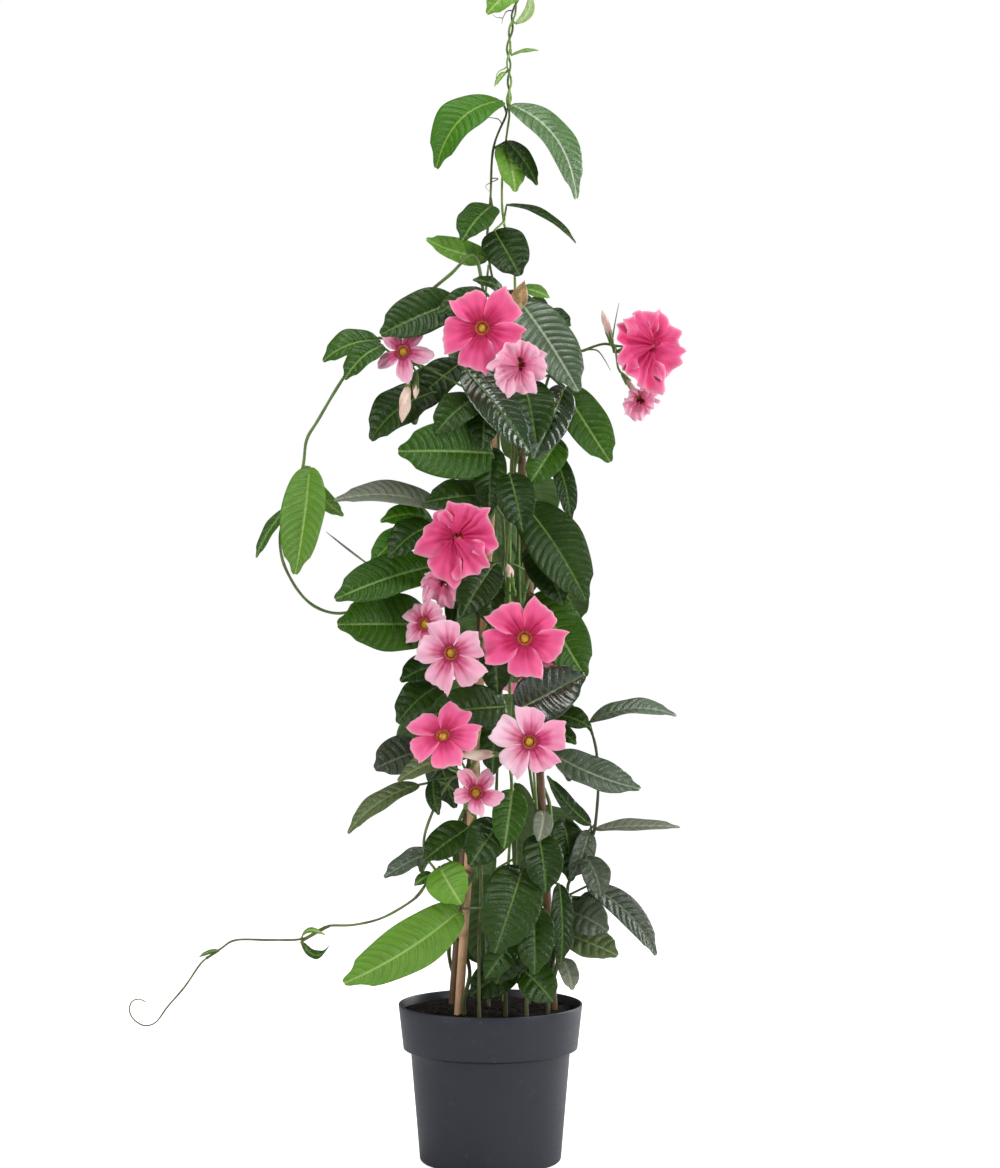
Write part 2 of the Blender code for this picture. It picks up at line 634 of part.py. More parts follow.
def build_cane(name):
    low, high = cane_line(name)
    route = []
    radii = []
    shares = [0.0]
    for knot in range(1, CANE_KNOTS + 1):
        middle = knot / (CANE_KNOTS + 1)
        shares += [middle - 0.006, middle, middle + 0.006]
    shares.append(1.0)
    for index, share in enumerate(shares):
        route.append(low.lerp(high, share))
        swell = 0.0007 if index % 3 == 2 and 0 < index < len(shares) - 1 else 0
        radii.append(CANE_RADIUS * (1 - CANE_TAPER * share) + swell)
    return add_object(f"cane_{name}", tube(route, radii, CANE_SIDES), "cane")


def build_tie():
    """The band round the three cane tops, as the outline of three circles pulled tight."""
    middles = []
    for name in CANE_FEET:
        low, high = cane_line(name)
        share = (TIE_HEIGHT - low.z) / (high.z - low.z)
        middles.append(low.lerp(high, share))
    sides = 15
    points = []
    faces = []
    inner = CANE_RADIUS * (1 - CANE_TAPER * share) + TIE_SLACK
    outer = inner + TIE_THICKNESS
    for radius, height in ((inner, 0), (outer, 0), (outer, TIE_DEPTH), (inner, TIE_DEPTH)):
        for side in range(sides):
            angle = 2 * math.pi * (side + 0.5) / sides
            way = Vector((math.cos(angle), math.sin(angle), 0))
            furthest = max(middles, key=lambda middle: middle.dot(way))
            points.append(furthest + way * radius + Vector((0, 0, height - TIE_DEPTH / 2)))
    for side in range(sides):
        beside = (side + 1) % sides
        for ring in range(4):
            here = ring * sides
            there = (ring + 1) % 4 * sides
            faces.append((here + side, here + beside, there + beside, there + side))
    return add_object("cane_tie", (points, faces), "tie")


def soil_ripple(x, y):
    return 0.0011 * math.sin(x * 160 + 1.3) + 0.0010 * math.sin(y * 190 + x * 90)


def build_soil(stems):
    floor = POT_FLOOR + GAP
    slack = GAP * 2
    edge = pot_inner_radius(SOIL_TOP) - GAP * 1.5
    profile = [
        (0, floor),
        (FOOT_RADIUS - POT_WALL - GAP * 1.5, floor),
        (NECK_RADIUS - POT_WALL - slack, COLLAR_FOOT_HEIGHT + INNER_STEP_LOW),
        (COLLAR_FOOT_RADIUS - POT_WALL - slack, COLLAR_FOOT_HEIGHT + INNER_STEP_HIGH),
        (edge, SOIL_TOP - 0.002),
        (edge * 0.86, SOIL_TOP),
        (edge * 0.45, SOIL_TOP + SOIL_MOUND * 0.8),
        (0, SOIL_TOP + SOIL_MOUND),
    ]
    points, faces = turned(profile, POT_SIDES)
    for point in points:
        if point.z > SOIL_TOP - 0.001:
            point.z += soil_ripple(point.x, point.y)
    soil = add_object("soil", (points, faces), "soil")
    holes = []
    for name in CANE_FEET:
        low, high = cane_line(name)
        way = (high - low).normalized()
        route = [low - way * GAP, low + way * (CANE_HOLE_DEPTH + 0.02)]
        holes.append(tapered_tube(route, CANE_RADIUS + GAP, CANE_RADIUS + GAP, CANE_SIDES))
    for foot, radius in stems:
        low = Vector((foot.x, foot.y, SOIL_TOP - STEM_HOLE_DEPTH))
        high = Vector((foot.x, foot.y, SOIL_TOP + 0.02))
        holes.append(tapered_tube([low, high], radius + GAP * 1.8, radius + GAP * 1.8, 6))
    cut(soil, holes)
    return soil


def cane_point(name, height):
    low, high = cane_line(name)
    return low.lerp(high, (height * MM - low.z) / (high.z - low.z))


def twine(name, lowest, highest, start, turns):
    """Points of a stem that winds up a cane."""
    count = round(turns * TWINE_POINTS)
    points = []
    for index in range(count + 1):
        share = index / count
        angle = math.radians(start) + 2 * math.pi * turns * share
        way = Vector((math.cos(angle), math.sin(angle), 0))
        points.append(cane_point(name, lowest + (highest - lowest) * share) + way * TWINE_REACH * MM)
    return points


def twist(start):
    """Points of one leader as it winds round the line that it shares with the other."""
    line = smooth_route([seen(place) for place in TWIST_LINE], TWIST_PITCH * MM / TWIST_POINTS)
    points = []
    for middle in line:
        angle = math.radians(start) + 2 * math.pi * middle.z / (TWIST_PITCH * MM)
        points.append(middle + Vector((math.cos(angle), math.sin(angle), 0)) * TWIST_REACH * MM)
    return points


def vine_route(name):
    """The stem's middle line, straight down through the soil's top at its foot."""
    points = []
    for place in VINES[name][2]:
        if place[0] == "twist":
            points += twist(place[1])
        elif isinstance(place[0], str):
            points += twine(*place)
        else:
            points.append(seen(place))
    foot = points[0]
    low = Vector((foot.x, foot.y, SOIL_TOP - STEM_HOLE_DEPTH + GAP))
    top = Vector((foot.x, foot.y, SOIL_TOP + 0.006))
    return [low] + smooth_route([top] + points, STEM_SPACING)


def width_share(s):
    """Half width of a blade along its length: round at the base and drawn out at the tip."""
    return 2.07 * s**0.45 * (1 - s) ** 0.62


def leaf_frame(leaf, slide):
    """Base, tip and the two directions that a blade is drawn from."""
    base = leaf["base"] + leaf["slide"] * slide
    tip = leaf["tip"] + leaf["slide"] * slide
    middle = (base + tip) / 2
    outward = Vector((middle.x - APEX.x * 0.5, middle.y, 0)).normalized()
    if middle.y < 0:
        outward = (outward + Vector((0, -1.4, 0))).normalized()
    rise = math.radians(leaf["rise"])
    hint = outward * math.cos(rise) + Vector((0, 0, 1)) * math.sin(rise)
    along = (tip - base).normalized()
    normal = (hint - along * hint.dot(along)).normalized()
    return base, tip, normal, along.cross(normal)


def leaf_point(leaf, frame, s, t, swell):
    """A point of the blade: s runs from base to tip, t from the left edge at -1 to the right at 1."""
    base, tip, normal, side = frame
    arch = 4 * s * (1 - s)
    half = leaf["width"] / 2 * width_share(s) + swell
    wave = math.sin(leaf["phase"] + 11 * s + (1.6 if t > 0 else 0)) * BLADE_WAVE * arch
    lift = leaf["lift"] * arch + half * abs(t) * (BLADE_FOLD + wave)
    return base.lerp(tip, s) + normal * lift + side * (half * t + leaf["bend"] * arch)


def crossed_ring(middle, normal, side, radius):
    """Four points of a stalk, in the same order as those of a blade."""
    right = middle + side * radius
    left = middle - side * radius
    return [left, middle + normal * radius, right, middle - normal * radius]


def stalk_rings(leaf, frame, root, extra):
    """Rings from inside the vine to the foot of the blade, turned over as little as possible."""
    base, tip, normal, side = frame
    reach = (base - root).length
    middle = (root + base) / 2 + Vector((0, 0, min(0.014, reach * 0.15)))
    route = [root, base] if reach < LONG_STALK else [root, middle, base]
    along = (leaf_point(leaf, frame, 0.05, 0, 0) - base).normalized()
    rings = []
    for index, place in enumerate(route):
        before = route[max(index - 1, 0)]
        after = route[index + 1] if index + 1 < len(route) else base + along * 0.01
        turn = along.rotation_difference((after - before).normalized())
        rings.append(crossed_ring(place, turn @ normal, turn @ side, STALK_RADIUS + extra))
    return rings


def leaf_solid(leaf, slide, root, thickness, swell):
    """A thin closed blade with sharp edges, thickest along its midrib, and its stalk."""
    frame = leaf_frame(leaf, slide)
    normal = frame[2]
    length = (leaf["tip"] - leaf["base"]).length
    stations = BLADE_STATIONS if length > LARGE_BLADE else SMALL_BLADE_STATIONS
    if length < TINY_BLADE:
        stations = TINY_BLADE_STATIONS
    rings = [] if root is None else stalk_rings(leaf, frame, root, swell / 2)
    for s in stations:
        middle = leaf_point(leaf, frame, s, 0, swell)
        left = leaf_point(leaf, frame, s, -1, swell)
        right = leaf_point(leaf, frame, s, 1, swell)
        rings.append([left, middle + normal * thickness / 2, right, middle - normal * thickness / 2])
    points = [point for ring in rings for point in ring]
    points.append(leaf_point(leaf, frame, 1, 0, 0))
    points.append(leaf_point(leaf, frame, 0, 0, 0))
    tip = len(points) - 2
    faces = []
    for side in range(4):
        beside = (side + 1) % 4
        faces.append((tip, tip - 4 + side, tip - 4 + beside))
        if root is None:
            faces.append((tip + 1, beside, side))
    if root is not None:
        points.pop()
        faces.append((3, 2, 1, 0))
    for low in range(0, tip - 4, 4):
        for edge in (0, 2):
            for middle in (1, 3):
                first = (low + edge, low + middle, low + 4 + middle)
                second = (low + edge, low + 4 + middle, low + 4 + edge)
                flip = (edge == 0) == (middle == 3)
                faces.append(tuple(reversed(first)) if flip else first)
                faces.append(tuple(reversed(second)) if flip else second)
    return points, faces


def leaf_stalk(leaf, slide, root):
    """The stalk alone, a little thicker, to test what it would cross."""
    rings = stalk_rings(leaf, leaf_frame(leaf, slide), root, 0.0012)
    middles = [sum(ring, Vector()) / 4 for ring in rings]
    middles[0] = middles[0].lerp(middles[1], 0.02)
    return tapered_tube(middles, STALK_RADIUS + 0.0012, STALK_RADIUS + 0.0012, 4)


def ring_faces(low, high, sides, outside):
    """Quads between two rings of the same count, as triangles."""
    faces = []
    for side in range(sides):
        beside = (side + 1) % sides
        faces.append((low + side, low + beside, high + beside))
        faces.append((low + side, high + beside, high + side))
    return faces if outside else [tuple(reversed(face)) for face in faces]


def doubled_faces(low, high, sides, outside):
    """Triangles from a ring to the next one, which has twice as many points."""
    faces = []
    for side in range(sides):
        beside = (side + 1) % sides
        near = high + side * 2
        after = high + (side * 2 + 2) % (sides * 2)
        faces.append((low + side, near + 1, near))
        faces.append((low + side, low + beside, near + 1))
        faces.append((low + beside, after, near + 1))
    return faces if outside else [tuple(reversed(face)) for face in faces]


def bloom_axes(look):
    """The way a flower faces, and two directions across it."""
    turn = math.radians(look[0])
    rise = math.radians(look[1])
    ahead = Vector((math.sin(turn) * math.cos(rise), -math.cos(turn) * math.cos(rise), math.sin(rise)))
    across = Vector((0, 0, 1)).cross(ahead).normalized()
    return ahead, across, ahead.cross(across)


# Outline of one lobe: share of the lobe's sector and of the flower's radius, hooked to one side
LOBE = ((0.00, 0.60), (0.26, 0.94), (0.54, 1.00), (0.78, 1.06))
LOBE_MIDDLE = ((0.00, 0.90), (0.50, 1.04))


def bloom_solid(row):
    """A funnel of petal with five hooked lobes, thin at their edges."""
    _, place, look, radius, opening, sag, spin, _ = row
    radius *= MM
    sag *= MM
    ahead, across, above = bloom_axes(look)
    throat = seen(place)
    foot = throat - ahead * (BLOOM_TUBE + BLOOM_THROAT)
    lean = math.radians(opening)
    points = []
    faces = []

    def ring(count, reach, forward, inset):
        start = len(points)
        for index in range(count):
            angle = 2 * math.pi * index / count + math.radians(spin)
            way = across * math.cos(angle) + above * math.sin(angle)
            points.append(foot + ahead * (forward + inset) + way * max(reach - inset, 0.0006))
        return start

    def lobe_ring(share, inset, outlines):
        start = len(points)
        for index in range(5 * len(outlines)):
            part, outline = outlines[index % len(outlines)]
            angle = 2 * math.pi * (index // len(outlines) + part) / 5 + math.radians(spin)
            way = across * math.cos(angle) + above * math.sin(angle)
            reach = radius * share * outline
            spread = reach - BLOOM_MOUTH
            ruffle = 0.0022 * math.sin(index * 2.4 + spin) * share
            point = throat + way * (BLOOM_MOUTH + spread * math.sin(lean))
            point += ahead * (spread * math.cos(lean) + ruffle - inset)
            point.z -= sag * (reach / radius) ** 2
            points.append(point)
        return start

    outer = [ring(5, 0.0024, 0, 0), ring(5, 0.0034, BLOOM_TUBE, 0)]
    outer.append(ring(10, 0.0095, BLOOM_TUBE + BLOOM_THROAT * 0.8, 0))
    inner = [ring(5, 0.0013, 0.006, 0), ring(5, 0.0022, BLOOM_TUBE, 0)]
    inner.append(ring(10, 0.0086, BLOOM_TUBE + BLOOM_THROAT * 0.8 + 0.0006, 0))
    back = lobe_ring(0.55, 0.0012, LOBE_MIDDLE)
    front = lobe_ring(0.55, 0, LOBE_MIDDLE)
    rim = lobe_ring(1.0, 0.0005, LOBE)
    faces += ring_faces(outer[0], outer[1], 5, True)
    faces += doubled_faces(outer[1], outer[2], 5, True)
    faces += ring_faces(inner[0], inner[1], 5, False)
    faces += doubled_faces(inner[1], inner[2], 5, False)
    faces += ring_faces(outer[2], back, 10, True)
    faces += ring_faces(inner[2], front, 10, False)
    faces += doubled_faces(back, rim, 10, True)
    faces += doubled_faces(front, rim, 10, False)
    faces.append(tuple(reversed(range(outer[0], outer[0] + 5))))
    faces.append(tuple(range(inner[0], inner[0] + 5)))
    return points, faces


def bud_solid(row):
    """A furled bud, round in the middle and pointed."""
    _, base, tip, radius, _ = row
    low = seen(base)
    high = seen(tip)
    shares = (0, 0.15, 0.42, 0.70, 0.90, 1.0)
    widths = (0.42, 0.72, 1.0, 0.80, 0.40, 0.10)
    route = [low.lerp(high, share) for share in shares]
    return tube(route, [radius * MM * width for width in widths], 5)


def flower_stalk(root, foot, ahead, extra):
    """Stalk and calyx, which end one gap short of the flower's foot."""
    seat = foot - ahead * GAP
    neck = seat - ahead * CALYX_LENGTH
    reach = (neck - root).length
    bend = neck - ahead * min(0.010, reach * 0.3)
    route = smooth_route([root, bend, neck], 0.040)
    radii = [FLOWER_STALK_RADIUS + extra] * len(route)
    route += [neck + ahead * 0.003, seat]
    radii += [CALYX_RADIUS * 0.85 + extra, CALYX_RADIUS * 0.75]
    return tube(route, radii, 4)


class Space:
    """What stands where, so that a piece can be bent clear of the other nodes."""

    def __init__(self):
        self.held = []

    def add(self, node, solid):
        tree, middle, reach = self.measure(solid)
        self.held.append((node, tree, middle, reach))

    def measure(self, solid):
        points, faces = solid
        middle = sum(points, Vector()) / len(points)
        reach = max((point - middle).length for point in points)
        tree = BVHTree.FromPolygons(points, split(points, faces), all_triangles=True)
        return tree, middle, reach

    def meets(self, node, solid):
        """The first node but this one that the solid crosses, or None."""
        tree, middle, reach = self.measure(solid)
        for other, held, there, far in self.held:
            if other == node or (there - middle).length > reach + far:
                continue
            if tree.overlap(held):
                return other
        return None


def split(points, faces):
    """The faces as triangles."""
    triangles = []
    for face in faces:
        if len(face) == 3:
            triangles.append(tuple(face))
            continue
        if len(face) == 4:
            triangles += [(face[0], face[1], face[2]), (face[0], face[2], face[3])]
            continue
        corners = [points[index] for index in face]
        triangles += [tuple(face[i] for i in three) for three in tessellate_polygon([corners])]
    return triangles


def front_leaves(name):
    leaves = []
    for index, (base, tip, width, lift, rise, _, *bend) in enumerate(LEAVES.get(name, [])):
        leaves.append(
            {
                "base": seen(base),
                "tip": seen(tip),
                "slide": sight_line(base),
                "width": width * MM,
                "lift": lift * MM,
                "rise": rise,
                "bend": sum(bend) * MM,
                "phase": index * 1.7,
            }
        )
    return leaves


def reach_at(height):
    for (low, near), (high, far) in zip(REACH, REACH[1:]):
        if height <= high:
            return near + (far - near) * (height - low) / (high - low)
    return REACH[-1][1]


def back_leaves(name):
    """Leaves on the sides that the rows leave bare, spread by a fixed turn."""
    if name not in BACK_LEAVES:
        return []
    lowest, highest, count, (first, last) = BACK_LEAVES[name]
    leaves = []
    for index in range(count):
        height = lowest + (highest - lowest) * index / (count - 1)
        turn = math.radians(first + (last - first) * (index * 0.618 % 1))
        way = Vector((-math.sin(turn), -math.cos(turn), 0))
        reach = reach_at(height)
        start = Vector((APEX.x * height * MM / APEX.z, 0, height * MM)) + way * reach * 0.40 * MM
        droop = Vector((0, 0, -(0.35 + 0.45 * (index * 0.37 % 1)) * reach * MM))
        leaves.append(
            {
                "base": start,
                "tip": start + way * reach * (0.44 + 0.08 * (index % 3)) * MM + droop,
                "slide": way,
                "width": reach * (0.48 + 0.06 * (index % 3)) * MM,
                "lift": 0.012,
                "rise": 45,
                "bend": 0.008 * math.sin(index * 2.3),
                "phase": index * 2.1,
            }
        )
    return leaves


def roots_near(route, place, most):
    """Points of a vine that a stalk may leave from, the nearest first."""
    target = place - Vector((0, 0, 0.012))
    return sorted(route[3:], key=lambda point: (point - target).length)[:most]


def fit_leaf(space, name, leaf, route):
    """A leaf, slid along its line until its blade crosses nothing and its stalk no other node.

    Where no place is free, the blade may cross its own vine, to which it is fused.
    """
    for spared in (None, name):
        for step in SLIDES:
            slide = step * MM
            if space.meets(spared, leaf_solid(leaf, slide, None, TEST_THICKNESS, TEST_MARGIN)):
                continue
            for root in roots_near(route, leaf["base"] + leaf["slide"] * slide, LEAF_ROOTS):
                if not space.meets(name, leaf_stalk(leaf, slide, root)):
                    return leaf_solid(leaf, slide, root, BLADE_THICKNESS, 0)
    return None


def fit_flower_stalk(space, name, foot, ahead, route):
    for root in roots_near(route, foot, FLOWER_ROOTS):
        if not space.meets(name, flower_stalk(root, foot, ahead, 0.0010)):
            return flower_stalk(root, foot, ahead, 0)
    return None


def build_flowers(space):
    """Flowers and buds, and where each meets its stalk."""
    seats = []
    for name, row in BLOOMS.items():
        solid = bloom_solid(row)
        add_object(name, solid, row[-1])
        space.add(name, solid)
        ahead = bloom_axes(row[2])[0]
        seats.append((name, row[0], seen(row[1]) - ahead * (BLOOM_TUBE + BLOOM_THROAT), ahead))
    for name, row in BUDS.items():
        solid = bud_solid(row)
        add_object(name, solid, row[-1])
        space.add(name, solid)
        low = seen(row[1])
        seats.append((name, row[0], low, (seen(row[2]) - low).normalized()))
    return seats


def fuse(name, solids, colour):
    """One object from a vine's stem and all that grows from it."""
    stem = add_object(name, solids[0], colour)
    group = bpy.data.collections.new(name)
    bpy.context.scene.collection.children.link(group)
    for index, solid in enumerate(solids[1:]):
        helper = add_object(f"{name}_{index}", solid, colour)
        bpy.context.scene.collection.objects.unlink(helper)
        group.objects.link(helper)
    join(stem, group, "UNION", "MANIFOLD")
    return stem


def build_plant(space):
    """All vines with their leaves, calyces and stalks, and the flowers and buds beside them."""
    routes = {name: vine_route(name) for name in VINES}
    parts = {}
    for name, route in routes.items():
        foot_radius, tip_radius, _ = VINES[name]
        stem = tapered_tube(route, foot_radius * MM, tip_radius * MM, STEM_SIDES)
        parts[name] = [stem]
        space.add(name, stem)
    for flower, vine, foot, ahead in build_flowers(space):
        stalk = fit_flower_stalk(space, vine, foot, ahead, routes[vine])
        if stalk is None:
            raise RuntimeError(f"The stalk of {flower} finds no free way to {vine}")
        parts[vine].append(stalk)
        space.add(vine, stalk)
    for name, route in routes.items():
        for index, leaf in enumerate(front_leaves(name) + back_leaves(name)):
            fitted = fit_leaf(space, name, leaf, route)
            if fitted is None:
                raise RuntimeError(f"Leaf {index} of {name} finds no free place")
            parts[name].append(fitted)
            space.add(name, fitted)
    for name, solids in parts.items():
        fuse(name, solids, "top leaf" if name.startswith("leader") else "leaf")
    return routes


def main():
    clear_scene()
    space = Space()
    build_pot()
    for name in CANE_FEET:
        cane = build_cane(name)
        space.add(cane.name, mesh_solid(cane))
    space.add("cane_tie", mesh_solid(build_tie()))
    space.add("pot", mesh_solid(bpy.data.objects["pot"]))
    routes = build_plant(space)
    stems = [(route[0], VINES[name][0] * MM) for name, route in routes.items()]
    build_soil(stems)


def mesh_solid(thing):
    points = [vertex.co.copy() for vertex in thing.data.vertices]
    return points, [tuple(polygon.vertices) for polygon in thing.data.polygons]


main()
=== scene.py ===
"""Looks of a potted mandevilla that climbs a pyramid of three bamboo canes.

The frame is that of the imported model: metres, +Z up, origin at the middle of the pot's underside,
front to -Y. Rows of places are in millimetres, as (x, depth y, z), and are the same as those of
the solids. Each is read on the upright plane through the pot's middle and then slid along the
sight line of a viewer in front. Leaves and flowers are drawn again here at full detail, where
the solids have them.
"""

import math

import bpy
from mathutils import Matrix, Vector, noise
from mathutils.bvhtree import BVHTree
from mathutils.kdtree import KDTree


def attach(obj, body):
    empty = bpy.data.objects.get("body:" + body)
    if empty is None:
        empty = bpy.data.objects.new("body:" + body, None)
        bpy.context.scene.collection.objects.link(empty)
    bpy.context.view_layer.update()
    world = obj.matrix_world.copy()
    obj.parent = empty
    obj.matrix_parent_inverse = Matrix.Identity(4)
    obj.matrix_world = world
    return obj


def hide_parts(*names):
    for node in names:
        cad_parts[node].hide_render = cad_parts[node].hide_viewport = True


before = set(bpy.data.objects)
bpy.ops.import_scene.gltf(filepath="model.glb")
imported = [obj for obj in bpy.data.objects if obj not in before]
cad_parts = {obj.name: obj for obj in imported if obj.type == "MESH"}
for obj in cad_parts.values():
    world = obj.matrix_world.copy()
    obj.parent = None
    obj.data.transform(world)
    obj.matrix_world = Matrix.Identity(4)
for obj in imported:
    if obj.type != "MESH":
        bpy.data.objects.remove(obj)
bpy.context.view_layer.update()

MM = 0.001
GAP = 0.3 * MM

# Units of the map called Span in each metre of a surface
SPAN = 20

# Camera, at the viewer that the rows are read from, and the photograph's scale and frame
VIEWER = Vector((0.010, -3.35, 0.700))
METRES_PER_PIXEL = 0.00105
FRAME_HEIGHT = 1168
GROUND_ROW = 1160
SENSOR = 36

# Pot
POT_HEIGHT = 0.165
RIM_RADIUS = 0.0965
COLLAR_FOOT_RADIUS = 0.0915
COLLAR_FOOT_HEIGHT = 0.118
NECK_RADIUS = 0.0835
FOOT_RADIUS = 0.0742
FOOT_ROUNDING = 0.004
COLLAR_ROUNDING = 0.0012
POT_WALL = 0.0022
POT_FLOOR = 0.0030
POT_SIDES = 128

# Soil
SOIL_TOP = 0.158
SOIL_MOUND = 0.003
STEM_HOLE_DEPTH = 0.042
CANE_HOLE_DEPTH = 0.085
SOIL_RINGS = 56
SOIL_SIDES = 168

# Canes
CANE_RADIUS = 0.0048
CANE_TAPER = 0.18
CANE_FEET = {"left": (-0.033, -0.035), "back": (-0.040, 0.040), "right": (0.066, 0.004)}
CANE_TURNS = {"left": 240, "back": 120, "right": 0}
APEX = Vector((0.018, 0.004, 0.900))
APEX_SPREAD = 0.0063
CANE_TOP = 0.914
CANE_KNOTS = 4
KNOT_SWELL = 0.00075
KNOT_LENGTH = 0.0030
KNOT_GROOVE = 0.00045
GROOVE_OFFSET = 0.0055
GROOVE_LENGTH = 0.0015
CANE_SIDES = 20
CANE_RINGS = 180

# Leaves and their stalks. The points of a stem lie STEM_SPACING apart in the solids, and the
# middle line of a stalk lies CENTRE_DEPTH times its radius inside them. SLIDES are the steps in
# millimetres that a leaf may have been slid by.
BLADE_FOLD = 0.20
BLADE_WAVE = 0.07
STALK_RADIUS = 0.0012
LONG_STALK = 0.060
LEAF_ROOTS = 7
STEM_SPACING = 0.040
FINE_SPACING = 0.004
CENTRE_DEPTH = 0.7
FORWARD_LEAN = 1.4
SLIDES = (0, -4, 4, -8, 8, -12, 12, -16, 16, -20, 20, -25, 25, -30, 30, -36, 36, -42, 42, -50, 50, -60, 60)

# Flowers
BLOOM_TUBE = 0.024
BLOOM_THROAT = 0.016
BLOOM_MOUTH = 0.0064
CALYX_LENGTH = 0.009
FLOWER_ROOTS = 16
CALYX_RADIUS = 0.0030
FLOWER_STALK_RADIUS = 0.0013

# Twining stems, in millimetres: how far they lie from a cane's middle line, and the line that the
# leaders share, with its radius and the height of one turn
TWINE_REACH = 9.0
TWINE_POINTS = 5
TWIST_LINE = ((18, -2, 1096), (20, -2, 1130), (19, -2, 1166), (24, -2, 1202), (29, -2, 1222))
TWIST_REACH = 1.9
TWIST_PITCH = 36
TWIST_POINTS = 5

# Stems of the leafy vines: radius at the foot and at the tip, then the places that the stem runs
# through. A row that starts with the name of a cane twines round it, and gives both heights, the
# angle of its start and the number of turns. A row that starts with twist winds round the
# leaders' common line from an angle.
VINES = {
    "vine_left": (
        2.2,
        1.5,
        [
            ("left", 175, 690, -60, 4.0),
            (-4, -32, 740), (-6, -40, 800), (-2, -36, 860), (-8, -34, 915), (-18, -38, 950),
            (-42, -42, 930), (-68, -44, 908), (-92, -44, 882), (-110, -44, 864), (-122, -44, 860),
            (-153, -44, 823), (-181, -42, 777), (-193, -40, 756), (-197, -38, 728), (-207, -34, 700),
            (-217, -32, 674), (-221, -30, 652), (-217, -28, 626), (-202, -24, 598), (-184, -20, 581),
            (-160, -16, 574), (-132, -10, 580), (-104, 2, 590),
        ],
    ),
    "vine_right": (
        2.2,
        1.4,
        [
            ("right", 175, 740, -120, 4.0),
            (52, -16, 790), (62, -24, 824), (78, -30, 844), (98, -34, 850), (108, -34, 854),
            (120, -34, 857), (131, -34, 855), (141, -34, 854),
        ],
    ),
    "vine_back": (
        2.2,
        1.3,
        [("back", 175, 800, 60, 5.0), (-10, 34, 850), (-6, 44, 900), (-2, 48, 940)],
    ),
    "vine_back_right": (
        2.0,
        1.3,
        [
            (40, 44, 175), (46, 52, 240), (52, 50, 330), (40, 46, 420), (34, 50, 520),
            (30, 44, 620), (30, 40, 720), (34, 38, 800), (44, 36, 860),
        ],
    ),
    "vine_front": (
        2.2,
        1.3,
        [
            (16, -44, 175), (20, -50, 230), (26, -54, 310), (22, -56, 400), (12, -56, 480),
            (8, -54, 560), (14, -50, 640), (10, -50, 710), (8, -50, 770), (8, -48, 820),
            (-2, -54, 866), (4, -56, 900),
        ],
    ),
    "leader_dark": (
        1.8,
        1.1,
        [
            (-2, 4, 175), (2, 2, 260), (6, -2, 380), (10, 2, 500), (14, -2, 600), (22, -12, 700),
            (24, -16, 800), (20, -20, 860), (8, -22, 900), (-3, -18, 958), (0, -12, 1010),
            (3, -8, 1062),
            ("twist", 20),
            (34, -2, 1240), (38, -2, 1262), (36, -4, 1284),
        ],
    ),
    "leader_green": (
        1.8,
        1.1,
        [
            (14, 40, 175), (16, 34, 260), (22, 28, 380), (20, 28, 500), (20, 32, 620),
            (22, 32, 740), (26, 32, 840), (26, 26, 900), (24, 18, 948), (14, 4, 985), (12, 4, 1020),
            (15, 6, 1060),
            ("twist", 200),
            (28, -8, 1236),
        ],
    ),
    "shoot_low_left": (
        2.0,
        0.8,
        [
            (-12, -66, 175), (-12, -66, 230), (-10, -68, 300), (-16, -72, 360),
            (-26, -66, 396), (-38, -60, 402), (-52, -62, 384), (-66, -70, 352), (-70, -78, 332),
            (-66, -78, 316), (-57, -78, 302), (-66, -80, 292), (-79, -84, 275), (-112, -88, 255),
            (-143, -90, 247), (-169, -90, 246), (-181, -90, 241), (-199, -88, 232), (-231, -84, 231),
            (-267, -80, 231), (-283, -78, 222), (-298, -76, 212), (-306, -76, 204), (-321, -76, 182),
            (-339, -74, 161), (-351, -74, 145), (-363, -74, 141), (-374, -74, 147), (-379, -73, 156),
            (-377, -72, 166), (-369, -71, 169), (-362, -71, 166),
        ],
    ),
    "shoot_low_right": (
        2.0,
        1.3,
        [
            (60, -32, 175), (68, -36, 220), (80, -42, 277), (83, -44, 293),
            (100, -46, 321), (107, -46, 339), (110, -46, 352), (113, -46, 387), (112, -46, 423),
            (107, -46, 447), (101, -44, 456), (86, -42, 477), (70, -44, 496),
        ],
    ),
    "shoot_low_front": (
        2.0,
        1.3,
        [(38, -60, 175), (42, -64, 200), (46, -68, 260), (50, -66, 330), (46, -66, 400), (40, -68, 440)],
    ),
}

